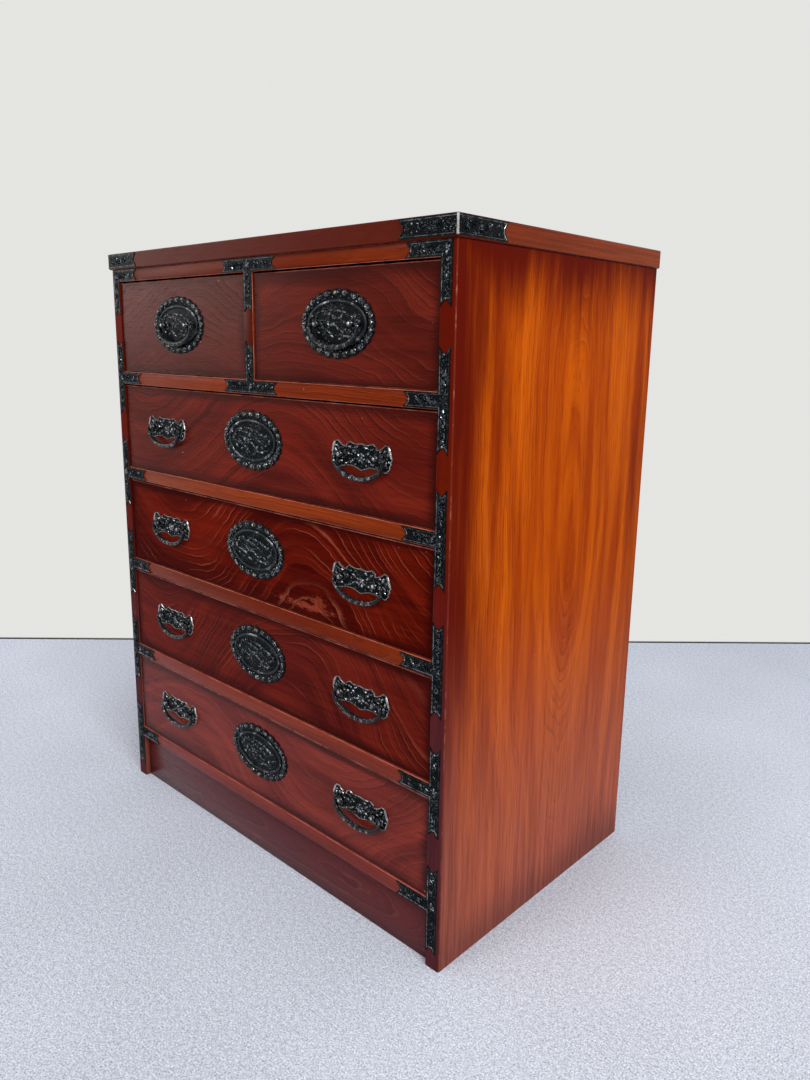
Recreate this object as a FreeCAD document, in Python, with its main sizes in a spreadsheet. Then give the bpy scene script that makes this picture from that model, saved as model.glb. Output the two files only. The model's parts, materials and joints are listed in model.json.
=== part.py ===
"""Tansu chest: a wooden case with six drawers, iron straps and ten drop handles.

Millimetres. +X is the chest's right, -Y its front, +Z up. The origin is on the floor, under the
middle of the whole chest with its handles.

Sizes is the sheet of driving dimensions. Places is a second sheet of positions worked out from
it. Every piece is bound to those two, and repeated pieces are placed copies of one master.
"""
import FreeCAD, Part
import math
import os
import re

import Sketcher

doc = FreeCAD.newDocument("tansu_chest")

# ---------------------------------------------------------------- driving dimensions
SIZES = [
    # top slab
    ("slab_width", 740, "top slab, left to right"),
    ("slab_depth", 452, "top slab, front to back"),
    ("slab_thickness", 24.5, "top slab"),
    ("slab_arris", 1.2, "chamfer along the slab's rims"),
    ("slab_corner", 1.6, "cut across the slab's upright corners"),
    ("slab_overhang_side", 3, "slab beyond the side boards"),
    ("slab_overhang_front", 3.5, "slab beyond the frame's front plane"),
    ("slab_overhang_back", 3.5, "slab beyond the back edge of the case"),
    # case
    ("side_thickness", 22, "side boards"),
    ("side_arris", 3, "worn round on the outer front edge of a side board"),
    ("kick_height", 78, "floor to the underside of the lowest rail"),
    ("kick_thickness", 16, "kickboard"),
    ("kick_recess", 8.5, "kickboard behind the frame plane"),
    ("rail_height", 20, "drawer rails"),
    ("rail_depth", 24, "drawer rails and top rail, front to back"),
    ("top_rail_height", 19, "rail under the slab"),
    ("long_opening", 138.4, "clear height of a long drawer's opening"),
    ("short_opening", 143, "clear height of a small drawer's opening"),
    ("partition_thickness", 20, "upright board between the small drawers"),
    ("housing", 6, "depth of the housings and mortises in the side boards"),
    ("tenon_thickness", 12, "rail tenons, front to back"),
    ("tenon_setback", 6, "rail tenons behind the frame plane"),
    ("shelf_thickness", 12, "shelves and bottom board"),
    ("back_thickness", 9, "back panel"),
    ("back_rebate", 10, "width of the rebate that takes the back panel"),
    ("back_foot", 40, "back panel above the floor"),
    ("back_groove", 3, "depth of the V grooves between the back's boards"),
    # drawers
    ("front_thickness", 20, "drawer front"),
    ("front_recess", 2, "drawer front behind the frame plane"),
    ("front_arris", 1.2, "chamfer round a drawer front's face"),
    ("side_gap", 0.8, "drawer to opening, each side"),
    ("running_gap", 0.3, "drawer above the shelf that it runs on"),
    ("head_gap", 2.3, "drawer front under the rail above"),
    ("end_gap", 8, "closed drawer to the back panel"),
    ("drawer_side", 11, "drawer sides and back"),
    ("drawer_bottom", 7, "drawer bottom"),
    ("side_drop", 4, "drawer sides lower than the front"),
    ("lap", 10, "drawer front that laps over the sides' ends"),
    ("back_lap", 5, "drawer back let into each side"),
    # iron sheet
    ("iron", 1, "straps and corner plates"),
    ("strap_width", 16.5, "strap bars"),
    ("strap_margin", 5.5, "wood left outside a stile's strap"),
    ("strap_notch", 7, "depth of the swallow-tail cut in a strap's end"),
    ("strap_notch_floor", 4, "width of that cut at its floor"),
    ("strap_arm", 53, "reach of a strap's arm past the side board"),
    ("strap_leg", 59.5, "reach of a stile strap above and below its rail's middle"),
    ("strap_rail_lip", 1, "rail left bare above and below a strap's arm"),
    ("corner_leg", 71, "reach of the top corner plate below the slab"),
    ("foot_leg_up", 57, "reach of the lowest strap above its rail's middle"),
    ("foot_leg_down", 66, "reach of the lowest strap below its rail's middle"),
    ("centre_arm", 60, "reach of a partition strap's arm from its middle"),
    ("centre_leg", 52, "reach of a partition strap's leg past its rail"),
    ("slab_plate_height", 21.5, "slab corner plates"),
    ("slab_plate_front", 85, "slab corner plate along the front"),
    ("slab_plate_side", 88, "slab corner plate along the side"),
    ("slab_plate_drop", 1, "slab corner plate below the slab's top"),
    # plates on the drawers
    ("plate_sheet", 1.2, "oval plates and handle plates"),
    ("oval_width", 134, "oval plates over the lobes"),
    ("oval_height", 85, "oval plates over the lobes"),
    ("oval_scallop", 2.2, "depth of the notches between the lobes"),
    ("oval_rim", 13, "plate outside the raised ring"),
    ("oval_ridge", 1.6, "height of the ring"),
    ("oval_ring", 4.5, "width of the ring"),
    ("oval_rise", 5, "long drawers' oval plates above the opening's middle"),
    ("short_oval_rise", 2.5, "small drawers' oval plates above the opening's middle"),
    # handle plates
    ("wing_width", 107, "handle plate across its wings"),
    ("wing_top", 16.5, "handle plate above the hinge line"),
    ("wing_point", 18.5, "handle plate's lower point below the hinge line"),
    ("festoon_end", 20, "handle plate's middle to the end of its middle festoon"),
    ("festoon_dip", 1.2, "the middle festoon's middle below its ends"),
    ("festoon_radius", 28, "the middle festoon"),
    ("step_place", 26.5, "handle plate's middle to the foot of the step in its top edge"),
    ("step_drop", 7, "foot of that step below the top"),
    ("saddle_radius", 22, "hollow over each post, between the step and the wing's crest"),
    ("crest_inset", 12.5, "crest of a wing inside its tip"),
    ("crest_corner", 6, "end of a wing's crest inside its tip"),
    ("tooth_start", 1, "first tooth below the hinge line"),
    ("tooth_pitch", 5.2, "teeth on a wing's end, one to the next"),
    ("tooth_depth", 2.4, "notch between two teeth"),
    ("tooth_lean", 1.8, "each tooth inside the one above"),
    ("heel_inset", 9.8, "wing's heel inside its tip"),
    ("heel_rise", 1.3, "heel above the lower point"),
    ("heel_width", 5.7, "flat of the heel"),
    ("belly_place", 14.5, "handle plate's middle to the foot of the lower point"),
    ("belly_rise", 4.2, "that foot above the lower point"),
    ("belly_radius", 60, "hollow of the lower edge"),
    ("handle_inset", 122.7, "handle's middle from the end of a long drawer's front"),
    ("handle_rise", 5.5, "hinge line above the opening's middle"),
    # posts
    ("post_pitch", 63, "two posts of a handle, axis to axis"),
    ("post_head", 4.7, "radius of a post's ball, to its flats"),
    ("post_bore_wall", 3, "hinge line to the end of the square shank inside the ball"),
    ("post_shank", 4, "square shank that runs through the drawer front"),
    ("post_hole_play", 0.1, "play round the shank, each side"),
    ("post_leg", 9, "reach of the clenched legs behind the front"),
    ("post_leg_thickness", 1.2, "clenched legs"),
    ("hinge_reach", 7.4, "hinge line in front of the drawer's face"),
    # bails
    ("bail_width", 92, "bail over its shoulders"),
    ("bail_drop", 28, "hinge line down to the middle of the bail's bar"),
    ("bail_bar", 3.7, "half height of the bar at its middle"),
    ("bail_side", 3.1, "half thickness of the bar, front to back"),
    ("bail_chamfer", 1.2, "cut along the bar's four edges"),
    ("bail_end", 2.2, "half height of the bar where it meets its pins"),
    ("bail_pin", 1.65, "radius of the eight-sided pins, to their flats"),
    ("bail_shoulder", 4.5, "bend radius of the shoulders"),
    ("pin_play", 0.1, "play of a pin in its post"),
    ("pin_end", 1, "pin past the post's ball"),
]

# ---------------------------------------------------------------- places worked out from them
PLACES = [
    ("post_reach", "hinge_reach + post_head"),
    ("overall_depth", "slab_depth + post_reach - front_recess - slab_overhang_front"),
    ("frame_front", "post_reach - front_recess - overall_depth / 2"),
    ("face_front", "frame_front + front_recess"),
    ("slab_front", "frame_front - slab_overhang_front"),
    ("slab_back", "slab_front + slab_depth"),
    ("case_back", "slab_back - slab_overhang_back"),
    ("panel_front", "case_back - back_thickness"),
    ("rail_back", "frame_front + rail_depth"),
    ("outer", "slab_width / 2 - slab_overhang_side"),
    ("inner", "outer - side_thickness"),
    ("pitch", "long_opening + rail_height"),
    ("lowest_top", "kick_height + rail_height"),
    ("highest_top", "lowest_top + 4 * pitch"),
    ("top_rail_foot", "highest_top + short_opening"),
    ("case_height", "top_rail_foot + top_rail_height"),
    ("total_height", "case_height + slab_thickness"),
    ("long_width", "2 * (inner - side_gap)"),
    ("long_height", "long_opening - running_gap - head_gap"),
    ("short_width", "inner - partition_thickness / 2 - 2 * side_gap"),
    ("short_height", "short_opening - running_gap - head_gap"),
    ("short_place", "(inner + partition_thickness / 2) / 2"),
    ("drawer_length", "panel_front - end_gap - face_front"),
    ("handle_place", "long_width / 2 - handle_inset"),
    ("handle_line", "long_opening / 2 - running_gap + handle_rise"),
    ("long_oval_line", "long_opening / 2 - running_gap + oval_rise"),
    ("short_oval_line", "short_opening / 2 - running_gap + short_oval_rise"),
    ("strap_outer", "outer - strap_margin"),
    ("strap_inner", "strap_outer - strap_width"),
    ("strap_tip", "inner - strap_arm"),
    ("arm_height", "rail_height - 2 * strap_rail_lip"),
    ("top_arm_height", "top_rail_height - 2 * strap_rail_lip"),
]

# ---------------------------------------------------------------- counts
LONG_DRAWERS = 4
LOBES = 24
LOBE_SHARE = 0.27
WING_TEETH = 3
FLATS = 8
BACK_BOARDS = 5
BAR_STEPS = 8
SHOULDER_STEPS = (0, 45, 90)
PIN_START = "post_pitch / 2 - post_head - pin_end"

AXES = ("x", "y", "z")
UPRIGHT = FreeCAD.Rotation(FreeCAD.Vector(1, 0, 0), 90)
ABOUT_X = FreeCAD.Vector(1, 0, 0)
ABOUT_Y = FreeCAD.Vector(0, 1, 0)
ABOUT_Z = FreeCAD.Vector(0, 0, 1)


def fill_sheets():
    """Write the driving sizes as plain numbers and the places as formulas on them."""
    sizes = doc.addObject("Spreadsheet::Sheet", "Sizes")
    for row, (name, value, note) in enumerate(SIZES, start=1):
        sizes.set("A%d" % row, name)
        sizes.set("B%d" % row, str(value))
        sizes.setAlias("B%d" % row, name)
        sizes.set("C%d" % row, note)
    doc.recompute()
    places = doc.addObject("Spreadsheet::Sheet", "Places")
    for row, (name, formula) in enumerate(PLACES, start=1):
        places.set("A%d" % row, name)
        places.set("B%d" % row, "=" + linked(formula))
        places.setAlias("B%d" % row, name)
        doc.recompute()
    return sizes


SHEET_OF = dict([(name, "Sizes") for name, _, _ in SIZES] + [(name, "Places") for name, _ in PLACES])


def linked(formula):
    """The formula with each size's sheet written in front of its name."""

    def with_sheet(match):
        word = match.group(0)
        return "%s.%s" % (SHEET_OF[word], word) if word in SHEET_OF else word

    return re.sub(r"[a-z][a-z_]*", with_sheet, formula)


def now(formula):
    """The formula's present value."""
    return float(SHEET.evalExpression(linked(formula)))


def bind(item, **formulas):
    for prop, formula in formulas.items():
        item.setExpression(prop, linked(formula))


def put(item, x="0", y="0", z="0", turn=None):
    """Bind the item's position; turn is a fixed rotation."""
    if turn:
        item.Placement = FreeCAD.Placement(FreeCAD.Vector(), turn)
    for axis, formula in zip(AXES, (x, y, z)):
        item.setExpression("Placement.Base." + axis, linked(formula))
    return item


# ---------------------------------------------------------------- solids
def board(name, x, y, z):
    """A plain board between three pairs of low and high faces."""
    box = doc.addObject("Part::Box", name)
    for prop, (low, high) in zip(("Length", "Width", "Height"), (x, y, z)):
        box.setExpression(prop, linked("(%s) - (%s)" % (high, low)))
    return put(box, x[0], y[0], z[0])


def joined(name, *pieces):
    union = doc.addObject("Part::MultiFuse", name)
    union.Shapes = list(pieces)
    union.Refine = True
    return union


def cut(name, base, *tools):
    taken = tools[0] if len(tools) == 1 else together(name + "_tools", *tools)
    rest = doc.addObject("Part::Cut", name)
    rest.Base = base
    rest.Tool = taken
    rest.Refine = True
    return rest


def together(name, *pieces):
    group = doc.addObject("Part::Compound", name)
    group.Links = list(pieces)
    return group


def copied(name, master, x="0", y="0", z="0", turn=None):
    """A placed copy of a master shape."""
    return put(together(name, master), x, y, z, turn)


def mirrored(name, source):
    """The source mirrored left to right across the chest's middle plane."""
    other = doc.addObject("Part::Mirroring", name)
    other.Source = source
    other.Normal = ABOUT_X
    other.Base = FreeCAD.Vector()
    return other


def sheet_piece(name, outline, thickness):
    """The outline thickened along its normal, with any inner loop left open."""
    solid = doc.addObject("Part::Extrusion", name)
    solid.Base = outline
    solid.DirMode = "Normal"
    solid.Solid = True
    solid.FaceMakerClass = "Part::FaceMakerBullseye"
    bind(solid, LengthFwd=thickness)
    return solid


# ---------------------------------------------------------------- sketches
def arc_between(start, end, radius):
    """The short arc from start to end. A positive radius turns left, a negative one right."""
    chord = end - start
    left = FreeCAD.Vector(-chord.y, chord.x, 0).normalize()
    half = chord.Length / 2
    rise = math.sqrt(max(radius * radius - half * half, 0))
    centre = (start + end) / 2 + left * math.copysign(rise, radius)
    first, last = (start, end) if radius > 0 else (end, start)
    from_centre = [point - centre for point in (first, last)]
    angles = [math.atan2(arm.y, arm.x) for arm in from_centre]
    return Part.ArcOfCircle(Part.Circle(centre, ABOUT_Z, abs(radius)), angles[0], angles[1])


def trace(sketch, corners):
    """Close a loop through corners of (across, up) or (across, up, radius), all of them formulas.

    A radius makes an arc of the run that leaves its corner. Every corner is tied to its formulas.
    """
    points = [FreeCAD.Vector(now(corner[0]), now(corner[1]), 0) for corner in corners]
    first = sketch.GeometryCount
    lines = []
    heads = []
    for number, corner in enumerate(corners):
        start = points[number]
        end = points[(number + 1) % len(points)]
        radius = now(corner[2]) if len(corner) == 3 else 0
        lines.append(arc_between(start, end, radius) if radius else Part.LineSegment(start, end))
        heads.append(1 if radius >= 0 else 2)
    sketch.addGeometry(lines, False)
    ties = []
    formulas = []
    for number, corner in enumerate(corners):
        here = first + number
        following = (number + 1) % len(corners)
        tail = 3 - heads[number]
        ties.append(Sketcher.Constraint("Coincident", here, tail, first + following, heads[following]))
        formulas.append(None)
        ties.append(Sketcher.Constraint("DistanceX", -1, 1, here, heads[number], points[number].x))
        formulas.append(corner[0])
        ties.append(Sketcher.Constraint("DistanceY", -1, 1, here, heads[number], points[number].y))
        formulas.append(corner[1])
        if len(corner) == 3:
            ties.append(Sketcher.Constraint("Radius", here, abs(now(corner[2]))))
            formulas.append("abs(%s)" % corner[2])
    for tie, formula in zip(sketch.addConstraint(ties), formulas):
        if formula:
            sketch.setExpression("Constraints[%d]" % tie, linked(formula))
    return sketch


def rectangle(sketch, across, up):
    (left, right), (low, high) = across, up
    return trace(sketch, [(left, low), (right, low), (right, high), (left, high)])


def square(sketch, across, up, side):
    half = "(%s) / 2" % side
    spans = [("(%s) - %s" % (middle, half), "(%s) + %s" % (middle, half)) for middle in (across, up)]
    return rectangle(sketch, spans[0], spans[1])


def upright_outline(name):
    """A free sketch that reads X across and Z up, with its normal to the front."""
    sketch = doc.addObject("Sketcher::SketchObject", name)
    sketch.Placement = FreeCAD.Placement(FreeCAD.Vector(), UPRIGHT)
    return sketch


def sketch_in(body, name, role, offset=None):
    """A sketch on one of the body's own planes, moved along the plane's normal."""
    sketch = body.newObject("Sketcher::SketchObject", name)
    plane = [item for item in body.Origin.OriginFeatures if item.Role == role][0]
    sketch.AttachmentSupport = [(plane, "")]
    sketch.MapMode = "FlatFace"
    if offset:
        sketch.setExpression("AttachmentOffset.Base.z", linked(offset))
    return sketch


def padded(body, sketch, length, name):
    pad = body.newObject("PartDesign::Pad", name)
    pad.Profile = sketch
    bind(pad, Length=length)
    sketch.Visibility = False
    return pad


def pocketed(body, sketch, depth, name, against_normal=True):
    """Cut the sketch into the body and check that material was removed."""
    doc.recompute()
    before = body.Shape.Volume
    pocket = body.newObject("PartDesign::Pocket", name)
    pocket.Profile = sketch
    pocket.Reversed = not against_normal
    bind(pocket, Length=depth)
    doc.recompute()
    if body.Shape.Volume >= before:
        raise RuntimeError("%s removes nothing" % name)
    return pocket


def repeated(body, feature, axis_role, length, count, name):
    """Repeat the feature along one of the body's axes over the length."""
    pattern = body.newObject("PartDesign::LinearPattern", name)
    pattern.Originals = [feature]
    axis = [item for item in body.Origin.OriginFeatures if item.Role == axis_role][0]
    pattern.Direction = (axis, [""])
    pattern.Occurrences = count
    bind(pattern, Length=length)
    body.Tip = pattern
    return pattern


def edges_where(shape, test):
    """Names of the shape's edges whose ends all pass the test."""
    edges = enumerate(shape.Edges, start=1)
    return ["Edge%d" % number for number, edge in edges if all(test(v.Point) for v in edge.Vertexes)]


def chamfered(body, base, edges, size, name):
    chamfer = body.newObject("PartDesign::Chamfer", name)
    chamfer.Base = (base, edges)
    bind(chamfer, Size=size)
    return chamfer


def near(value, target):
    return abs(value - target) < 0.01


# ---------------------------------------------------------------- case, wood
def top_slab():
    """The slab: upright corners cut across and a small chamfer along both rims."""
    body = doc.addObject("PartDesign::Body", "top_slab")
    sketch = sketch_in(body, "slab_plan", "XY_Plane", "case_height")
    half = "slab_width / 2"
    corner = "slab_corner"
    trace(sketch, [
        ("%s - %s" % (half, corner), "slab_front"),
        (half, "slab_front + " + corner),
        (half, "slab_back - " + corner),
        ("%s - %s" % (half, corner), "slab_back"),
        ("%s - %s" % (corner, half), "slab_back"),
        ("-" + half, "slab_back - " + corner),
        ("-" + half, "slab_front + " + corner),
        ("%s - %s" % (corner, half), "slab_front"),
    ])
    pad = padded(body, sketch, "slab_thickness", "slab_pad")
    doc.recompute()
    low = now("case_height")
    high = now("total_height")
    rims = edges_where(pad.Shape, lambda p: near(p.z, high))
    rims += edges_where(pad.Shape, lambda p: near(p.z, low))
    chamfered(body, pad, rims, "slab_arris", "slab_rims")
    return body


def right_side_board():
    """A side board: rebated for the back, housed for the shelves and mortised for the rails."""
    body = doc.addObject("PartDesign::Body", "right_side_board")
    plan = sketch_in(body, "side_plan", "XY_Plane")
    trace(plan, [
        ("inner", "frame_front"),
        ("outer - side_arris", "frame_front", "side_arris"),
        ("outer", "frame_front + side_arris"),
        ("outer", "case_back"),
        ("inner + back_rebate", "case_back"),
        ("inner + back_rebate", "panel_front"),
        ("inner", "panel_front"),
    ])
    padded(body, plan, "case_height", "side_pad")
    seats = sketch_in(body, "side_seats", "YZ_Plane", "inner")
    tenon_front = "frame_front + tenon_setback"
    rectangle(seats, (tenon_front, tenon_front + " + tenon_thickness"), ("kick_height", "lowest_top"))
    rectangle(seats, ("rail_back", "panel_front"), ("lowest_top - shelf_thickness", "lowest_top"))
    pocket = pocketed(body, seats, "housing", "side_seat", against_normal=False)
    repeated(body, pocket, "Z_Axis", "%d * pitch" % LONG_DRAWERS, LONG_DRAWERS + 1, "side_seat_row")
    return body


def back_panel():
    """Upright boards side by side, with a V groove at each joint."""
    body = doc.addObject("PartDesign::Body", "back_panel")
    half = "(inner + back_rebate)"
    plan = sketch_in(body, "back_plan", "XY_Plane", "back_foot")
    rectangle(plan, ("-" + half, half), ("panel_front", "case_back"))
    padded(body, plan, "case_height - back_foot", "back_pad")
    vee = sketch_in(body, "back_vee", "XY_Plane", "back_foot")
    first = "(2 / %d - 1) * %s" % (BACK_BOARDS, half)
    trace(vee, [
        (first + " - back_groove", "case_back"),
        (first, "case_back - back_groove"),
        (first + " + back_groove", "case_back"),
    ])
    groove = pocketed(body, vee, "case_height - back_foot", "back_groove_cut", against_normal=False)
    gap = "2 * %s * %d / %d" % (half, BACK_BOARDS - 2, BACK_BOARDS)
    repeated(body, groove, "X_Axis", gap, BACK_BOARDS - 1, "back_grooves")
    return body


def rail(name, foot, top):
    """A rail between the side boards, with a stub tenon on each end."""
    tenon_front = "frame_front + tenon_setback"
    bar = board(name + "_bar", ("-inner", "inner"), ("frame_front", "rail_back"), (foot, top))
    tenon = board(
        name + "_tenons",
        ("-inner - housing", "inner + housing"),
        (tenon_front, tenon_front + " + tenon_thickness"),
        (foot, top),
    )
    return joined(name, bar, tenon)


def shelf(name, top):
    """A dust board housed in both side boards, from the rail to the back panel."""
    return board(
        name,
        ("-inner - housing", "inner + housing"),
        ("rail_back", "panel_front"),
        ("%s - shelf_thickness" % top, top),
    )


def level(number):
    """Height of a rail's top: 0 is the lowest rail and LONG_DRAWERS the highest."""
    return "(lowest_top + %d * pitch)" % number


def case_wood():
    right = right_side_board()
    left = mirrored("left_side_board", right)
    levels = range(LONG_DRAWERS + 1)
    rails = [rail("rail_%d" % n, level(n) + " - rail_height", level(n)) for n in levels]
    top_rail = board("top_rail", ("-inner", "inner"), ("frame_front", "rail_back"),
                     ("top_rail_foot", "case_height"))
    shelves = [shelf("shelf_%d" % n, level(n)) for n in levels if n > 0]
    half = "partition_thickness / 2"
    partition = cut(
        "centre_partition",
        board("partition_board", ("-" + half, half), ("frame_front", "panel_front"),
              ("highest_top", "case_height")),
        board("partition_notch", ("-" + half, half), ("frame_front", "rail_back"),
              ("top_rail_foot", "case_height")),
    )
    kick_front = "frame_front + kick_recess"
    kickboard = board("kickboard", ("-inner", "inner"), (kick_front, kick_front + " + kick_thickness"),
                      ("0", "kick_height"))
    return [
        top_slab(),
        left,
        right,
        back_panel(),
        together("drawer_rails", *rails),
        top_rail,
        partition,
        together("shelves", *shelves),
        shelf("bottom_board", level(0)),
        kickboard,
    ]


# ---------------------------------------------------------------- case, iron
def swallow_tail(tip, middle, width, along_x, outward, clockwise):
    """Corners of a strap's end: two prongs with a flat-floored notch between them.

    tip and middle place the end, outward is +1 or -1 along its axis, and clockwise gives the
    order in which the two prongs are met.
    """
    floor = "%s - (%d) * strap_notch" % (tip, outward)
    corners = []
    for side, reach in ((-1, width), (-1, "strap_notch_floor"), (1, "strap_notch_floor"), (1, width)):
        turn = side if clockwise else -side
        across = "%s + (%d) * %s / 2" % (middle, turn, reach)
        depth = tip if reach == width else floor
        corners.append((depth, across) if along_x else (across, depth))
    return corners


def stile_strap(name, leg_up, leg_down, arm_height, arm_middle):
    """Outline of a strap on the right stile with one arm along its rail; up is from its rail's middle."""
    outline = upright_outline(name + "_outline")
    bar_middle = "strap_inner + strap_width / 2"
    arm_low = "%s - %s / 2" % (arm_middle, arm_height)
    arm_high = "%s + %s / 2" % (arm_middle, arm_height)
    corners = []
    corners += swallow_tail("-(%s)" % leg_down, bar_middle, "strap_width", False, -1, True)
    if leg_up:
        corners += swallow_tail(leg_up, bar_middle, "strap_width", False, 1, False)
        corners += [("strap_inner", arm_high)]
    else:
        corners += [("strap_outer", arm_high)]
    corners += swallow_tail("strap_tip", arm_middle, arm_height, True, -1, False)
    corners += [("strap_inner", arm_low)]
    trace(outline, corners)
    return sheet_piece(name, outline, "iron")


def partition_strap(name):
    """A T plate: its arm along the rail and one leg down the partition."""
    outline = upright_outline(name + "_outline")
    low = "-top_arm_height / 2"
    leg_tip = "-(top_arm_height / 2 + strap_rail_lip + centre_leg)"
    corners = swallow_tail("centre_arm", "0", "top_arm_height", True, 1, True)
    corners += swallow_tail("-centre_arm", "0", "top_arm_height", True, -1, False)
    corners += [("-strap_width / 2", low)]
    corners += swallow_tail(leg_tip, "0", "strap_width", False, -1, True)
    corners += [("strap_width / 2", low)]
    trace(outline, corners)
    return sheet_piece(name, outline, "iron")


def slab_corner_plate():
    """Right-hand plate bent round the slab's front corner, notched at both ends."""
    body = doc.addObject("PartDesign::Body", "right_slab_plate")
    half = "slab_width / 2"
    bend = "(slab_corner + iron * tan(22.5))"
    front_tip = half + " - slab_plate_front"
    side_tip = "slab_front + slab_plate_side"
    foot = "total_height - slab_plate_drop - slab_plate_height"
    plan = sketch_in(body, "slab_plate_plan", "XY_Plane", foot)
    trace(plan, [
        (front_tip, "slab_front - iron"),
        ("%s + iron - %s" % (half, bend), "slab_front - iron"),
        (half + " + iron", "slab_front - iron + " + bend),
        (half + " + iron", side_tip),
        (half, side_tip),
        (half, "slab_front + slab_corner"),
        (half + " - slab_corner", "slab_front"),
        (front_tip, "slab_front"),
    ])
    padded(body, plan, "slab_plate_height", "slab_plate_pad")
    middle = "%s + slab_plate_height / 2" % foot
    high = "%s + slab_plate_height" % foot
    inset = "strap_notch_floor / 2"
    front_notch = sketch_in(body, "front_notch", "XZ_Plane", "-slab_front")
    trace(front_notch, [
        (front_tip, foot),
        (front_tip + " + strap_notch", "%s - %s" % (middle, inset)),
        (front_tip + " + strap_notch", "%s + %s" % (middle, inset)),
        (front_tip, high),
    ])
    pocketed(body, front_notch, "iron", "front_notch_cut", against_normal=False)
    side_notch = sketch_in(body, "side_notch", "YZ_Plane", half)
    trace(side_notch, [
        (side_tip, high),
        (side_tip + " - strap_notch", "%s + %s" % (middle, inset)),
        (side_tip + " - strap_notch", "%s - %s" % (middle, inset)),
        (side_tip, foot),
    ])
    pocketed(body, side_notch, "iron", "side_notch_cut", against_normal=False)
    return body


def case_iron():
    rail_middle = "- rail_height / 2"
    tee = stile_strap("tee_master", "strap_leg", "strap_leg", "arm_height", "0")
    foot_tee = stile_strap("foot_tee_master", "foot_leg_up", "foot_leg_down", "arm_height", "0")
    top_middle = "case_height - top_rail_height / 2"
    corner_drop = "corner_leg - top_rail_height / 2"
    corner = stile_strap("corner_master", None, corner_drop, "top_arm_height", "0")
    tees = [
        copied("right_tee_%d" % n, tee, y="frame_front", z=level(n) + rail_middle)
        for n in range(1, LONG_DRAWERS + 1)
    ]
    tees.append(copied("right_foot_tee", foot_tee, y="frame_front", z=level(0) + rail_middle))
    right_tees = together("right_tee_plates", *tees)
    right_corner = copied("right_corner_plate", corner, y="frame_front", z=top_middle)
    centre = partition_strap("centre_tee_master")
    upper = copied("upper_centre_tee", centre, y="frame_front", z=top_middle)
    lower = copied("lower_centre_tee", centre, y="frame_front - iron", z=level(LONG_DRAWERS) + rail_middle,
                   turn=FreeCAD.Rotation(ABOUT_X, 180))
    right_slab = slab_corner_plate()
    return [
        right_tees,
        mirrored("left_tee_plates", right_tees),
        right_corner,
        mirrored("left_corner_plate", right_corner),
        upper,
        lower,
        right_slab,
        mirrored("left_slab_plate", right_slab),
    ]


# ---------------------------------------------------------------- plates on the drawers
def shank_holes(outline):
    for side in ("-", ""):
        square(outline, side + "post_pitch / 2", "0", "post_shank + 2 * post_hole_play")


def oval_point(margin, angle):
    """A point on the oval's outline, this far inside it."""
    return (
        "(oval_width / 2 - (%s)) * cos(%g)" % (margin, angle),
        "(oval_height / 2 - (%s)) * sin(%g)" % (margin, angle),
    )


def oval_loop(sketch, margin):
    """A loop with one corner behind each lobe."""
    step = 360 / LOBES
    trace(sketch, [oval_point(margin, 90 + step * number) for number in range(LOBES)])


def oval_plate(name, has_handle):
    """A plate with a scalloped rim and a raised ring."""
    outline = upright_outline(name + "_outline")
    step = 360 / LOBES
    corners = []
    for number in range(LOBES):
        lobe = 90 + step * number
        corners.append(oval_point("oval_scallop", lobe - step / 2))
        corners.append(oval_point("0", lobe - step * LOBE_SHARE))
        corners.append(oval_point("0", lobe + step * LOBE_SHARE))
    trace(outline, corners)
    if has_handle:
        shank_holes(outline)
    sheet = sheet_piece(name + "_sheet", outline, "plate_sheet")
    rings = upright_outline(name + "_rings")
    oval_loop(rings, "oval_rim")
    oval_loop(rings, "oval_rim + oval_ring")
    ring = put(sheet_piece(name + "_ring", rings, "oval_ridge"), y="-plate_sheet")
    return joined(name, sheet, ring)


def mirrored_loop(half):
    """A closed loop, clockwise, from its right half: corners from the top middle to the low middle."""
    corners = list(half[:-1])
    bends = [corner[2:] for corner in half[:-1]]
    for corner, bend in zip(reversed(half[1:]), reversed(bends)):
        across = corner[0] if corner is half[-1] else "-(%s)" % corner[0]
        corners.append((across, corner[1]) + bend)
    return corners


def handle_plate(name):
    """A bat-wing plate: festooned top, raised wings with toothed ends, and a point below."""
    outline = upright_outline(name + "_outline")
    half = "wing_width / 2"
    heel = half + " - heel_inset"
    teeth = []
    for number in range(WING_TEETH):
        teeth.append((
            "%s - %d * tooth_lean" % (half, number),
            "-tooth_start - %d * tooth_pitch" % number,
        ))
        teeth.append((
            "%s - %d * tooth_lean - tooth_depth" % (half, number),
            "-tooth_start - (%d + 1 / 2) * tooth_pitch" % number,
        ))
    trace(outline, mirrored_loop([
        ("0", "wing_top - festoon_dip", "festoon_radius"),
        ("festoon_end", "wing_top"),
        ("step_place", "wing_top - step_drop / 2"),
        ("step_place", "wing_top - step_drop", "saddle_radius"),
        (half + " - crest_inset", "wing_top"),
        (half + " - crest_corner", "wing_top - tooth_depth / 2"),
    ] + teeth + [
        (heel, "heel_rise - wing_point"),
        (heel + " - heel_width", "heel_rise - wing_point", "belly_radius"),
        ("belly_place", "belly_rise - wing_point"),
        ("0", "-wing_point"),
    ]))
    shank_holes(outline)
    return sheet_piece(name, outline, "plate_sheet")


# ---------------------------------------------------------------- handles
def forged(name, radius, length, x="0", y="0", z="0", turn=None):
    """An eight-sided bar, its flats this far from its axis."""
    bar = doc.addObject("Part::Prism", name)
    bar.Polygon = FLATS
    bind(bar, Circumradius="(%s) / cos(180 / %d)" % (radius, FLATS), Height=length)
    flat_side_up = FreeCAD.Rotation(ABOUT_Z, 180 / FLATS)
    return put(bar, x, y, z, turn.multiply(flat_side_up) if turn else flat_side_up)


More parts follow.
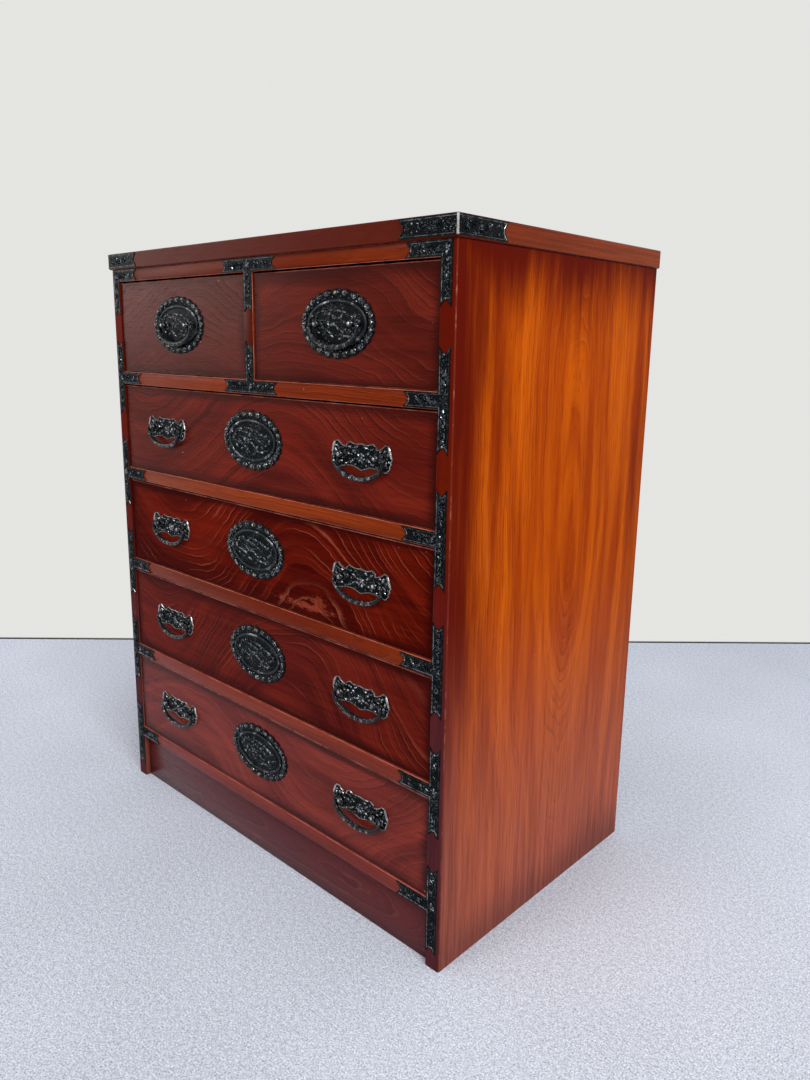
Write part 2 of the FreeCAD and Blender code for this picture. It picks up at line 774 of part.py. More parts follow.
def handle_post(name):
    """A post: a faceted ball, cross-bored for a pin, on a shank clenched inside the drawer."""
    along_x = FreeCAD.Rotation(ABOUT_Y, 90)
    across = "2 * post_head"
    ball = doc.addObject("Part::MultiCommon", name + "_ball")
    ball.Shapes = [
        forged(name + "_ball_x", "post_head", across, "-post_head", "-hinge_reach", "0", along_x),
        forged(name + "_ball_y", "post_head", across, "0", "post_head - hinge_reach", "0", UPRIGHT),
    ]
    half = "post_shank / 2"
    tail = "front_thickness + post_leg_thickness"
    shank = board(name + "_shank", ("-" + half, half), ("post_bore_wall - hinge_reach", tail),
                  ("-" + half, half))
    legs = board(name + "_legs", ("-post_leg", "post_leg"), ("front_thickness", tail), ("-" + half, half))
    bore = doc.addObject("Part::Cylinder", name + "_bore")
    bind(bore, Radius="bail_pin / cos(180 / %d) + pin_play" % FLATS, Height="4 * post_head")
    put(bore, "-2 * post_head", "-hinge_reach", "0", along_x)
    return cut(name, joined(name + "_whole", ball, shank, legs), bore)


def bail_stations():
    """Middle line of the bar from the right shoulder to the left: place, half depth and direction."""
    wide = "(bail_width / 2 - bail_end)"
    deep = "(bail_drop - bail_shoulder)"
    stations = []
    for angle in SHOULDER_STEPS:
        stations.append((
            "%s + bail_shoulder * (sin(%g) - 1)" % (wide, angle),
            "bail_shoulder * (cos(%g) - 1)" % angle,
            "bail_end",
            "sin(%g)" % angle,
            "cos(%g)" % angle,
        ))
    for step in range(1, BAR_STEPS // 2 + 1):
        angle = 180 * step / BAR_STEPS
        steep = "%s * cos(%g)" % (deep, angle)
        flat = "%s * sin(%g)" % (wide, angle)
        length = "sqrt((%s) * (%s) + (%s) * (%s))" % (steep, steep, flat, flat)
        stations.append((
            "%s * cos(%g)" % (wide, angle),
            "-bail_shoulder - %s * sin(%g)" % (deep, angle),
            "bail_end + (bail_bar - bail_end) * sin(%g)" % angle,
            "%s / %s" % (steep, length),
            "-%s / %s" % (flat, length),
        ))
    return stations


def bail(name):
    """A drop handle: one crescent bar, thickest in its middle, with a pin turned in at each end."""
    body = doc.addObject("PartDesign::Body", name + "_bar")
    outline = sketch_in(body, name + "_outline", "XZ_Plane")
    outer = []
    inner = []
    for x, z, half, out_x, out_z in bail_stations():
        outer.append(("%s + (%s) * %s" % (x, half, out_x), "%s + (%s) * %s" % (z, half, out_z)))
        inner.append(("%s - (%s) * %s" % (x, half, out_x), "%s - (%s) * %s" % (z, half, out_z)))
    right = outer
    left = [("-(%s)" % across, up) for across, up in reversed(outer[:-1])]
    back_left = [("-(%s)" % across, up) for across, up in inner[:-1]]
    back_right = list(reversed(inner))
    trace(outline, right + left + back_left + back_right)
    pad = padded(body, outline, "2 * bail_side", name + "_pad")
    pad.Midplane = True
    doc.recompute()
    side = now("bail_side")
    rims = edges_where(pad.Shape, lambda p: near(p.y, side))
    rims += edges_where(pad.Shape, lambda p: near(p.y, -side))
    chamfered(body, pad, rims, "bail_chamfer", name + "_chamfer")
    reach = "bail_width / 2 - bail_end - bail_shoulder - (%s)" % PIN_START
    along_x = FreeCAD.Rotation(ABOUT_Y, 90)
    pins = []
    for end, foot in (("left", "bail_end + bail_shoulder - bail_width / 2"), ("right", PIN_START)):
        pins.append(forged("%s_%s_pin" % (name, end), "bail_pin", reach, foot, turn=along_x))
    return joined(name, body, *pins)


# ---------------------------------------------------------------- drawers
def drawer_front(name, width, height, posts):
    """A front whose face laps over the drawer's sides and bottom; posts are its handles' middles."""
    body = doc.addObject("PartDesign::Body", name)
    half = "%s / 2" % width
    face = sketch_in(body, name + "_face", "XZ_Plane")
    rectangle(face, ("-" + half, half), ("0", height))
    padded(body, face, "lap", name + "_face_pad").Reversed = True
    within = half + " - drawer_side"
    core = sketch_in(body, name + "_core", "XZ_Plane", "-lap")
    rectangle(core, ("-(%s)" % within, within), ("drawer_bottom", height))
    pad = padded(body, core, "front_thickness - lap", name + "_core_pad")
    pad.Reversed = True
    doc.recompute()
    rim = edges_where(pad.Shape, lambda p: near(p.y, 0))
    chamfered(body, pad, rim, "front_arris", name + "_rim")
    holes = sketch_in(body, name + "_holes", "XZ_Plane")
    for middle, up in posts:
        for side in ("-", "+"):
            place = "%s %s post_pitch / 2" % (middle, side)
            square(holes, place, up, "post_shank + 2 * post_hole_play")
    pocketed(body, holes, "front_thickness", name + "_shank_holes")
    return body


def drawer_box(name, width, height):
    """Two sides and a back: the back stands in rebates at the sides' ends."""
    half = "%s / 2" % width
    run = ("lap", "drawer_length")
    end = ("drawer_length - drawer_side", "drawer_length")
    wall = ("drawer_bottom", height + " - side_drop")
    within = half + " - drawer_side"
    right = cut(
        name + "_right",
        board(name + "_right_board", (within, half), run, wall),
        board(name + "_right_rebate", (within, within + " + back_lap"), end, wall),
    )
    left = mirrored(name + "_left", right)
    back = board(name + "_back", ("-(%s) - back_lap" % within, within + " + back_lap"), end, wall)
    return together(name, right, left, back)


def drawer_masters(name, width, height, posts):
    half = "%s / 2" % width
    return {
        "front": drawer_front(name + "_front_master", width, height, posts),
        "box": drawer_box(name + "_box_master", width, height),
        "bottom": board(name + "_bottom_master", ("-" + half, half), ("lap", "drawer_length"),
                        ("0", "drawer_bottom")),
    }


def wooden_parts(name, masters, x, foot):
    """One drawer's boards as placed copies of the masters."""
    return [
        copied("%s_%s" % (name, part), master, x, "face_front", foot)
        for part, master in masters.items()
    ]


def post_pair(name, post, x, z):
    return [
        copied("%s_%s" % (name, side), post, "%s %s post_pitch / 2" % (x, sign), "face_front", z)
        for side, sign in (("left", "-"), ("right", "+"))
    ]


def hung_bail(name, master, x, z):
    return copied(name, master, x, "face_front - hinge_reach", z)


def all_drawers():
    post = handle_post("post_master")
    hanger = bail("bail_master")
    wing = handle_plate("wing_master")
    oval = oval_plate("oval_master", False)
    handled_oval = oval_plate("handled_oval_master", True)
    sides = (("left", "-handle_place"), ("right", "handle_place"))
    long_masters = drawer_masters("long", "long_width", "long_height",
                                  [(x, "handle_line") for _, x in sides])
    small_masters = drawer_masters("small", "short_width", "short_height", [("0", "short_oval_line")])
    pieces = []
    for side, x in (("left", "-short_place"), ("right", "short_place")):
        name = "small_" + side
        foot = level(LONG_DRAWERS) + " + running_gap"
        line = foot + " + short_oval_line"
        pieces += wooden_parts(name, small_masters, x, foot)
        pieces.append(copied(name + "_plate", handled_oval, x, "face_front", line))
        pieces.append(together(name + "_posts", *post_pair(name + "_post", post, x, line)))
        pieces.append(hung_bail(name + "_bail", hanger, x, line))
    for number in range(1, LONG_DRAWERS + 1):
        name = "long_%d" % number
        foot = level(LONG_DRAWERS - number) + " + running_gap"
        line = foot + " + handle_line"
        pieces += wooden_parts(name, long_masters, "0", foot)
        plates = [copied(name + "_oval", oval, "0", "face_front", foot + " + long_oval_line")]
        posts = []
        for side, x in sides:
            plates.append(copied("%s_wing_%s" % (name, side), wing, x, "face_front", line))
            posts += post_pair("%s_post_%s" % (name, side), post, x, line)
            pieces.append(hung_bail("%s_bail_%s" % (name, side), hanger, x, line))
        pieces.append(together(name + "_plates", *plates))
        pieces.append(together(name + "_posts", *posts))
    return pieces


# ---------------------------------------------------------------- build, check, write
def check(pieces):
    """Stop at any failed object and any piece that is not a valid solid."""
    for item in doc.Objects:
        for state in ("Invalid", "Error"):
            if state in item.State:
                raise RuntimeError("%s is %s" % (item.Name, state))
    for piece in pieces:
        shape = piece.Shape
        if shape.isNull() or not shape.isValid() or not shape.Solids:
            raise RuntimeError("%s has no valid solid" % piece.Label)


def write(pieces):
    os.makedirs("parts", exist_ok=True)
    for piece in pieces:
        piece.Shape.exportStep("parts/%s.step" % piece.Label)


SHEET = fill_sheets()
PIECES = case_wood() + case_iron() + all_drawers()
doc.recompute()
check(PIECES)
write(PIECES)
print("%d nodes, %d solids" % (len(PIECES), sum(len(piece.Shape.Solids) for piece in PIECES)))
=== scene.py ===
import json
import math

import bmesh
import bpy
from mathutils import Euler, Matrix, Vector

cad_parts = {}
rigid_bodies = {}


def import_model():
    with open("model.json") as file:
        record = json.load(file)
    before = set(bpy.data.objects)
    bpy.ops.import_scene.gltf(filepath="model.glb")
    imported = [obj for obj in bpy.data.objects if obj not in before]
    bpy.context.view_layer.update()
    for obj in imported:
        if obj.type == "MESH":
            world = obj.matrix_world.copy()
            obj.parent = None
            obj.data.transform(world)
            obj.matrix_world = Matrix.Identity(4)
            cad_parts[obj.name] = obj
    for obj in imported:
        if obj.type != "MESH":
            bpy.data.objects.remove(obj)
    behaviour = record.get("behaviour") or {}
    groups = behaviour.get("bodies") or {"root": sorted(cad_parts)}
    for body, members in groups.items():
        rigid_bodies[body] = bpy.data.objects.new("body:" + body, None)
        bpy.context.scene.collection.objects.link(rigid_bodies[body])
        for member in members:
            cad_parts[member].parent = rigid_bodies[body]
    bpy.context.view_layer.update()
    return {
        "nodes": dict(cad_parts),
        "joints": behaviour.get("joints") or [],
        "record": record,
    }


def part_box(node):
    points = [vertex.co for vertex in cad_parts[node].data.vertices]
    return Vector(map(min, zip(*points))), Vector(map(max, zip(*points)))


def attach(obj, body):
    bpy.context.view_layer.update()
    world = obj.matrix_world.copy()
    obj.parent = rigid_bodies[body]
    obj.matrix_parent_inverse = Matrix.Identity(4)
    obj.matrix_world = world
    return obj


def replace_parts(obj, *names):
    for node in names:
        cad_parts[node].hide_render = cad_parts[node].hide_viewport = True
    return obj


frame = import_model()
NODES = frame["nodes"]

# ------------------------------ stand, lens and lamps
# The chest stands on pale grey felt that ends at a pale wall, shown only as a colour. It is seen
# from a little below its top, past its right front corner, lit by three windows and the ceiling.
scene = bpy.context.scene
scene.view_settings.view_transform = "Standard"
EYE = Vector((0.957, -0.9247, 0.782))
YAW, PITCH, ROLL = math.radians(43.02), math.radians(12.15), math.radians(0.88)
FRAME_PIXELS, FOCAL_PIXELS, FILM_MM = 1080, 834.0, 36
camera = bpy.data.objects.new("camera", bpy.data.cameras.new("camera"))
camera.data.lens = FOCAL_PIXELS / FRAME_PIXELS * FILM_MM
camera.data.shift_x = -0.6 / FRAME_PIXELS
camera.data.shift_y = -15.7 / FRAME_PIXELS
camera.matrix_world = (
    Matrix.Translation(EYE)
    @ Matrix.Rotation(YAW, 4, "Z")
    @ Matrix.Rotation(math.pi / 2 - PITCH, 4, "X")
    @ Matrix.Rotation(ROLL, 4, "Z")
)
scene.collection.objects.link(camera)
scene.camera = camera


class Field:
    """An output socket of a shader tree. Its sums and products add the Math nodes that they need."""

    def __init__(self, item, place=0):
        self.tree = item.id_data
        self.socket = item.outputs[place]

    def calc(self, operation, *others):
        return Field(add(self.tree, "Math", [self, *others], operation=operation))

    def __add__(self, other):
        return self.calc("ADD", other)

    def __sub__(self, other):
        return self.calc("SUBTRACT", other)

    def __mul__(self, other):
        return self.calc("MULTIPLY", other)

    def __truediv__(self, other):
        return self.calc("DIVIDE", other)


def feed(item, sockets):
    """Feeds a node's inputs by place or name, each with a value or a field."""
    for place, value in sockets.items() if isinstance(sockets, dict) else enumerate(sockets):
        socket = item.inputs[place]
        if isinstance(value, Field):
            item.id_data.links.new(value.socket, socket)
        elif socket.type == "RGBA":
            socket.default_value = (*value, 1)
        else:
            socket.default_value = value
    return item


def add(tree, kind, sockets=(), **props):
    """A shader node with its properties set and its inputs fed."""
    item = tree.nodes.new("ShaderNode" + kind)
    for prop, value in props.items():
        setattr(item, prop, value)
    return feed(item, sockets)


def ramped(value, low, high, start=0.0, end=1.0, smooth=True):
    """The value brought from low..high to start..end, clamped."""
    kind = "SMOOTHSTEP" if smooth else "LINEAR"
    feeds = {"Value": value, "From Min": low, "From Max": high, "To Min": start, "To Max": end}
    return Field(add(value.tree, "MapRange", feeds, interpolation_type=kind))


def tree_of(*values):
    return next(value.tree for value in values if isinstance(value, Field))


def blended(share, first, second, blend="MIX"):
    """Two colours mixed by a share: a Mix node's sockets 6 and 7, and its output 2."""
    tree = tree_of(share, first, second)
    return Field(add(tree, "Mix", {0: share, 6: first, 7: second}, data_type="RGBA", blend_type=blend), 2)


def noise(vector, scale=1.0, detail=2.0, roughness=0.5):
    feeds = {"Vector": vector, "Scale": scale, "Detail": detail, "Roughness": roughness}
    return Field(add(vector.tree, "TexNoise", feeds), "Fac")


def split(vector):
    parts = add(vector.tree, "SeparateXYZ", [vector])
    return [Field(parts, axis) for axis in range(3)]


def joined(*parts):
    return Field(add(tree_of(*parts), "CombineXYZ", parts))


def vector_calc(operation, vector, *others):
    """A Vector Math node's result: a number for a length or a dot product, or else a vector."""
    place = "Value" if operation in ("LENGTH", "DOT_PRODUCT") else "Vector"
    return Field(add(vector.tree, "VectorMath", [vector, *others], operation=operation), place)


def mapped(vector, kind="POINT", **sockets):
    return Field(add(vector.tree, "Mapping", {"Vector": vector, **sockets}, vector_type=kind))


def bumped(height, strength, distance):
    return Field(add(height.tree, "Bump", {"Strength": strength, "Distance": distance, "Height": height}))


def new_material(name):
    """An empty material with its shader, the object's own coordinates and its output node."""
    material = bpy.data.materials.new(name)
    material.use_nodes = True
    tree = material.node_tree
    tree.nodes.clear()
    shader = add(tree, "BsdfPrincipled")
    output = add(tree, "OutputMaterial", [Field(shader)])
    return material, shader, Field(add(tree, "TexCoord"), "Object"), output


def background_ray(tree):
    """One for the rays that show the background: from the lens, off a surface or through glass."""
    path = add(tree, "LightPath")
    seen = Field(path, "Is Camera Ray").calc("MAXIMUM", Field(path, "Is Transmission Ray"))
    return seen.calc("MAXIMUM", Field(path, "Is Glossy Ray"))


WALL = (0.78, 0.78, 0.76)
FELT = (0.555, 0.588, 0.665)
WALL_FOOT_SHADE = (0.03, 0.03, 0.03)
PAINTED_LIGHT_WAY = (-0.112, 0.270, 0.0)
WALL_WAY = (-0.7014, 0.7128, 0.0)
felt, shader, place, output = new_material("pale_felt")
speckle = noise(place, 460, 3, 0.75)
mottle = ramped(noise(place, 3.1), 0.3, 0.7, -0.03, 0.03)
mottle += ramped(noise(place, 150, 3, 0.7), 0.3, 0.7, -0.16, 0.16, False)
tone = ramped(speckle, 0.34, 0.66, 0.46, 1.40, False) + mottle
# Painted light: the felt is painted up to 1.2 times brighter towards one way and down to 0.88 the other way,
# a pool of light laid into its colour.
tone *= ramped(vector_calc("DOT_PRODUCT", place, PAINTED_LIGHT_WAY), -0.25, 0.12, 0.88, 1.2, False)
grey = Field(add(place.tree, "CombineColor", [tone] * 3))
feed(shader, {"Base Color": blended(1.0, FELT, grey, "MULTIPLY"), "Roughness": 0.9,
              "Normal": bumped(speckle, 0.3, 0.001)})
behind = vector_calc("DOT_PRODUCT", place, WALL_WAY)
# Painted shade: a dark line where the wall colour begins, for the shade at the foot of the wall.
wall_colour = blended(ramped(behind, 0.809, 0.817, smooth=False), WALL_FOOT_SHADE, WALL)
glow = add(place.tree, "Emission", [wall_colour, 1.0])
beyond = ramped(behind, 0.800, 0.802) * background_ray(place.tree)
feed(output, [Field(add(place.tree, "MixShader", [beyond, Field(shader), Field(glow)]))])
floor_mesh = bmesh.new()
bmesh.ops.create_circle(floor_mesh, cap_ends=True, segments=64, radius=9)
floor = bpy.data.objects.new("floor", bpy.data.meshes.new("floor"))
floor_mesh.to_mesh(floor.data)
floor.data.materials.append(felt)
scene.collection.objects.link(floor)

world = bpy.data.worlds.new("room")
world.use_nodes = True
tree = world.node_tree
tree.nodes.clear()
height = split(Field(add(tree, "TexCoord"), "Generated"))[2]
wall_colour = blended(ramped(height, 0.35, 0.75), WALL, (0.20, 0.20, 0.21))
room = add(tree, "Background", [(0.86, 0.88, 0.92), 0.55])
wall = add(tree, "Background", [wall_colour, 1.0])
add(tree, "OutputWorld", [Field(add(tree, "MixShader", [background_ray(tree), Field(room), Field(wall)]))])
scene.world = world

LIT_SPOT = Vector((0.0, 0.0, 0.5))
for name, at, width, height, power in (
    ("right_window", (2.2, -0.95, 2.05), 1.0, 0.8, 44),
    ("front_window", (-0.55, -2.9, 1.9), 1.2, 1.0, 30),
    ("left_window", (-2.4, -1.45, 1.25), 1.2, 0.9, 5),
    ("ceiling", (0.3, -0.2, 2.9), 1.8, 1.6, 26),
):
    lamp = bpy.data.objects.new(name, bpy.data.lights.new(name, "AREA"))
    lamp.data.shape = "RECTANGLE"
    lamp.data.size = width
    lamp.data.size_y = height
    lamp.data.energy = power
    lamp.location = at
    lamp.rotation_euler = (LIT_SPOT - Vector(at)).to_track_quat("-Z", "Y").to_euler()
    scene.collection.objects.link(lamp)

# ------------------------------ case boards
# The case is hardwood with a flame figure, stained red brown and darker towards every edge, then
# lacquered. Its arrises are eased by hand and rubbed lighter. Grain runs along each board.


def new_group(name, inputs, outputs):
    """An empty node group: its tree, its given fields by name and its output node."""
    tree = bpy.data.node_groups.new(name, "ShaderNodeTree")
    for way, sockets in (("INPUT", inputs), ("OUTPUT", outputs)):
        for label, kind in sockets.items():
            tree.interface.new_socket(name=label, in_out=way, socket_type="NodeSocket" + kind)
    ends = tree.nodes.new("NodeGroupInput")
    return tree, {label: Field(ends, label) for label in inputs}, tree.nodes.new("NodeGroupOutput")


# What a board's figure is like where nothing else is said: width of a ring, taper of the rings'
# cone, where its heart lies, waviness, seed, bow of the flame, dark border, lines and streaks.
FIGURE = {"ring": 0.009, "taper": 0.05, "heart": 0.02, "aside": 0.0, "swirl": 0.05, "reach": 2.0, "seed": 0.0,
          "arch": 0.0, "peak": 0.0, "fade": 0.03, "dark": 0.5, "light": 0.5, "streaks": 0.4}
STAINED, given, out = new_group(
    "Stained Board",
    {"Vector": "Vector", "Edge Stain": "Color", "Stain": "Color", "Flame": "Color", "Half Length": "Float",
     "Half Width": "Float", **{label.capitalize(): "Float" for label in FIGURE}},
    {"Color": "Color", "Roughness": "Float", "Height": "Float"},
)
BARE_LINE = (0.45, 0.20, 0.11)
BARE_NICK = (0.45, 0.20, 0.15)
along, across, deep = split(given["Vector"])


def stretched(along_scale, across_scale, deep_scale=2.0):
    """The board's coordinates scaled along, across and through the grain, moved on by the seed."""
    return joined(along * along_scale, across * across_scale, deep * deep_scale + given["Seed"])


swell = noise(stretched(given["Reach"], given["Reach"] * 1.6), 1.0, 1.5) - 0.5
shiver = noise(stretched(26.0, 60.0, 30.0), 1.0, 2, 0.6) - 0.5
ripple = noise(stretched(5.5, 15.0, 6.0), 1.0, 2, 0.6) - 0.5
depth = along * given["Taper"] + given["Heart"]
outward = across + given["Aside"]
cone = (outward * outward + depth * depth).calc("SQRT")
bow = ((along - given["Peak"]) * 9.5).calc("COSINE") * given["Arch"]
growth = (cone + swell * given["Swirl"] - bow + ripple * 0.022) / given["Ring"] + shiver * 0.6
years = noise(joined(growth * 0.42, along * 1.1, given["Seed"]), 1.0, 2, 0.6)
growth += years * 3.2
ring = growth.calc("FRACT")
dark_line = ramped(ring, 0.66, 0.92) * ramped(ring, 0.94, 1.0, 1.0, 0.0)
light_line = ramped(ring, 0.0, 0.03) * ramped(ring, 0.05, 0.19, 1.0, 0.0)
small_ring = (growth * 3.4).calc("FRACT")
small_line = ramped(small_ring, 0.5, 0.9) * ramped(small_ring, 0.9, 1.0, 1.0, 0.0)
shade = noise(joined(growth * 0.31, along * 2.2, given["Seed"]))
fibre = noise(stretched(2.4, 60.0, 16.0), 1.0, 5, 0.8)
streak = ramped(shade, 0.34, 0.66) * 0.66 + ramped(fibre, 0.34, 0.66) * 0.44
patch = noise(stretched(given["Reach"] * 2.0, 14.0))
strength = ramped(patch, 0.38, 0.60, 0.10, 1.0)
pore = ramped(noise(stretched(30.0, 620.0, 600.0), 1.0, 2, 0.6), 0.52, 0.68)
pore *= ramped(ring, 0.25, 0.9, 0.4, 1.0)
nick = ramped(noise(stretched(75.0, 120.0, 120.0), 1.0, 1), 0.795, 0.83)
inside_along = given["Half Length"] - along.calc("ABSOLUTE")
inside_across = given["Half Width"] - across.calc("ABSOLUTE")
inset = inside_along.calc("SMOOTH_MIN", inside_across, 0.02) / given["Fade"]
inset += ramped(fibre, 0.3, 0.7, -0.11, 0.11) + ramped(patch, 0.3, 0.7, -0.16, 0.16)
lit = ramped(inset, 0.0, 1.0)
darker = given["Dark"] * (dark_line * strength + small_line * 0.35)
colour = blended(lit, given["Edge Stain"], given["Stain"])
for share, over in (
    (lit * streak * given["Streaks"], given["Flame"]),
    (lit * light_line * given["Light"] * strength, blended(0.28, given["Flame"], BARE_LINE)),
    (darker, given["Edge Stain"]),
    (pore * 0.5, given["Edge Stain"]),
    (nick * 0.6, BARE_NICK),
):
    colour = blended(share, colour, over)
feed(out, {"Color": colour, "Roughness": ramped(patch, 0.3, 0.7, 0.19, 0.27) + pore * 0.15,
           "Height": (dark_line * 0.5 + pore) * -1.0})

LENGTHWAYS = (-math.pi / 2, 0.0, 0.0)
UPWARDS = (0.0, math.pi / 2, 0.0)
UP_THE_BACK = (math.pi / 2, 0.0, math.pi / 2)
FRONT_TO_BACK = (-math.pi / 2, -math.pi / 2, 0.0)
FLAT = (0.0, 0.0, 0.0)
AMBER = (1.0, 0.40, 0.22)


def board_finish(name, node, turn, edge, stain, flame, relief=0.25, sheen=0.13, tint=AMBER,
                 heart_at=None, **figure):
    """Stained wood for one CAD board, its grain turned along it. The figure and the dark border
    are laid out round heart_at, or round the board's middle."""
    material, shader, place, _ = new_material(name)
    low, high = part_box(node)
    rotation = Euler(turn).to_matrix()
    middle = heart_at or (low + high) / 2
    half = rotation @ Vector([max(top - mid, mid - bottom) for bottom, mid, top in zip(low, middle, high)])
    wood = add(place.tree, "Group", {
        "Vector": mapped(place, Location=-(rotation @ middle), Rotation=turn),
        "Edge Stain": edge, "Stain": stain, "Flame": flame,
        "Half Length": abs(half.x), "Half Width": abs(half.y),
        **{label.capitalize(): value for label, value in {**FIGURE, **figure}.items()},
    }, node_tree=STAINED)
    feed(shader, {"Base Color": Field(wood, "Color"), "Roughness": Field(wood, "Roughness"),
                  "Normal": bumped(Field(wood, "Height"), relief, 0.0004), "Specular IOR Level": sheen,
                  "Specular Tint": tint})
    return material


def lifted(node):
    """A CAD node's mesh with its triangles merged back into plain faces."""
    mesh = bmesh.new()
    mesh.from_mesh(NODES[node].data)
    bmesh.ops.remove_doubles(mesh, verts=mesh.verts, dist=1e-5)
    bmesh.ops.dissolve_limit(mesh, angle_limit=math.radians(0.5), verts=mesh.verts, edges=mesh.edges)
    return mesh


def placed(mesh, name, body, slot, *materials, sharp=35):
    """The finished piece: shaded smooth up to an angle, riding on its body."""
    for face in mesh.faces:
        face.smooth = True
    for edge in mesh.edges:
        edge.smooth = edge.calc_face_angle(0.0) < math.radians(sharp)
    piece = bpy.data.objects.new(name, bpy.data.meshes.new(name))
    mesh.to_mesh(piece.data)
    mesh.free()
    for material in materials:
        piece.data.materials.append(material)
    scene.collection.objects.link(piece)
    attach(piece, body)
    return piece


def marked(faces, number):
    """Faces given the piece's material with this number."""
    for face in faces:
        face.material_index = number


def eased(node, body, slot, width, finish, rubbed):
    """The board with its arrises eased; the eased faces show rubbed lacquer."""
    mesh = lifted(node)
    sharp = [edge for edge in mesh.edges if edge.calc_face_angle(0.0) > math.radians(60) and edge.is_convex]
    made = bmesh.ops.bevel(mesh, geom=sharp, offset=width, offset_type="OFFSET", affect="EDGES", segments=2,
                           profile=0.5, material=-1, clamp_overlap=True)
    marked(made["faces"], 1)
    piece = placed(mesh, node + "_board", body, slot, finish, rubbed)
    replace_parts(piece, node)


RUBBED_PATCHES, given, out = new_group(
    "Rubbed Patches",
    {"Vector": "Vector", "Grain": "Float", "Low": "Float", "High": "Float"},
    {"Mask": "Float", "Height": "Float"},
)
feed(out, {"Mask": ramped(noise(given["Vector"], given["Grain"], 3, 0.65), given["Low"], given["High"]),
           "Height": noise(given["Vector"], 900)})


def rubbed(place, grain, low, high):
    """The rubbed patches' mask and fine height."""
    feeds = {"Vector": place, "Grain": grain, "Low": low, "High": high}
    item = add(place.tree, "Group", feeds, node_tree=RUBBED_PATCHES)
    return Field(item, "Mask"), Field(item, "Height")


def rubbed_lacquer(name, stain, bare, low, high):
    """Lacquer on an eased arris, rubbed through to lighter wood in places."""
    material, shader, place, _ = new_material(name)
    worn, tooth = rubbed(place, 34, low, high)
    feed(shader, {"Base Color": blended(worn, stain, bare), "Roughness": ramped(worn, 0, 1, 0.26, 0.44),
                  "Normal": bumped(tooth, 0.15, 0.0002), "Specular IOR Level": 0.3, "Specular Tint": AMBER})
    return material


RUBBED = rubbed_lacquer("rubbed_arris", (0.17, 0.042, 0.030), (0.34, 0.11, 0.08), 0.38, 0.64)
STILE_ARRIS = rubbed_lacquer("rubbed_stile_arris", (0.13, 0.016, 0.009), (0.32, 0.09, 0.065), 0.48, 0.68)
RUBBED_RAIL = rubbed_lacquer("rubbed_rail_arris", (0.24, 0.045, 0.022), (0.40, 0.12, 0.07), 0.36, 0.60)
SIDE_STREAKS = (150.0, 150.0, 5.0)
SLAB_STREAKS = (70.0, 5.0, 260.0)
RAIL_STREAKS = (4.0, 70.0, 150.0)
DARKER, PALER = 0.68, 1.22


def found(material, kind):
    """The material's one node of a kind."""
    return next(item for item in material.node_tree.nodes if item.type == kind)


def washed(material, colour, share, streaks=SIDE_STREAKS):
    """Another colour over the wood in uneven streaks, by a share worked out from the place."""
    shader = found(material, "BSDF_PRINCIPLED")
    place = Field(found(material, "TEX_COORD"), "Object")
    link = shader.inputs["Base Color"].links[0]
    under = Field(link.from_node, list(link.from_node.outputs).index(link.from_socket))
    streaky = ramped(noise(mapped(place, Scale=streaks), 1.0, 4, 0.75), 0.32, 0.68)
    over = blended(streaky, [value * DARKER for value in colour], [value * PALER for value in colour])
    feed(shader, {"Base Color": blended(share(place), under, over)})


def low_down(low, high, most, nearest=-2.0, furthest=-1.0):
    """A share that is most near the floor and grows from the nearest to the furthest y."""

    def share(place):
        _, y, z = split(place)
        return ramped(z, low, high, most, 0.0) * ramped(y, nearest, furthest)

    return share


def on_the_ends(place):
    """A share for the slab's two ends alone, growing from the front to the back."""
    x, y, _ = split(place)
    return ramped(x.calc("ABSOLUTE"), 0.3694, 0.3704) * ramped(y, -0.10, 0.20, 0.6, 0.95)


def toward_the_left(place):
    return ramped(split(place)[0], -0.10, 0.30, 0.72, 0.30)


# Each board's stain at its edges, over the rest and in the flame.
SLAB_STAIN = ((0.075, 0.007, 0.003), (0.170, 0.018, 0.007), (0.28, 0.044, 0.010))
SIDE_STAIN = ((0.105, 0.0060, 0.0020), (0.32, 0.033, 0.0014), (0.64, 0.118, 0.0024))
RAIL_STAIN = ((0.07, 0.006, 0.002), (0.125, 0.012, 0.003), (0.27, 0.038, 0.006))
KICK_STAIN = ((0.045, 0.006, 0.007), (0.078, 0.012, 0.014), (0.14, 0.022, 0.020))
slab_finish = board_finish("slab_lacquer", "top_slab", FLAT, *SLAB_STAIN, ring=0.007, swirl=0.04, reach=1.5,
                           seed=3.1, fade=0.020, dark=0.3, light=0.2, streaks=0.35, sheen=0.08)
washed(slab_finish, (0.30, 0.048, 0.008), on_the_ends, SLAB_STREAKS)
eased("top_slab", "case", "case_wood", 0.0004, slab_finish, RUBBED)

for node, seed in (("left_side_board", 4.6), ("right_side_board", 7.4)):
    low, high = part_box(node)
    finish = board_finish(node + "_lacquer", node, UPWARDS, *SIDE_STAIN, ring=0.0065, taper=0.16,
                          heart=-0.013, swirl=0.085, reach=1.35, seed=seed, fade=0.125, dark=0.34, light=0.30,
                          streaks=0.85, relief=0.14, sheen=0.015,
                          heart_at=Vector(((low.x + high.x) / 2, 0.035, 0.45)))
    stile, side = low.y + 0.0004, low.y + 0.0012
    # Painted reflection: the side's outer face is washed paler and pinker towards the floor, below 0.5 m, in
    # place of the pale felt's sheen. Its lowest 70 mm are washed darker, and the stile's front face is washed
    # darker from 0.56 m down.
    washed(finish, (0.38, 0.110, 0.076), low_down(0.06, 0.50, 0.70, stile, side))
    washed(finish, (0.16, 0.052, 0.046), low_down(0.0, 0.07, 0.5, stile, side))
    washed(finish, (0.070, 0.019, 0.025), low_down(0.24, 0.56, 0.85, side, stile))
    mesh = lifted(node)
    marked([face for face in mesh.faces if 0.7 < abs(face.normal.x) < 0.95 and face.normal.y < 0], 1)
    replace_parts(placed(mesh, node + "_lacquered", "case", "case_wood", finish, STILE_ARRIS), node)

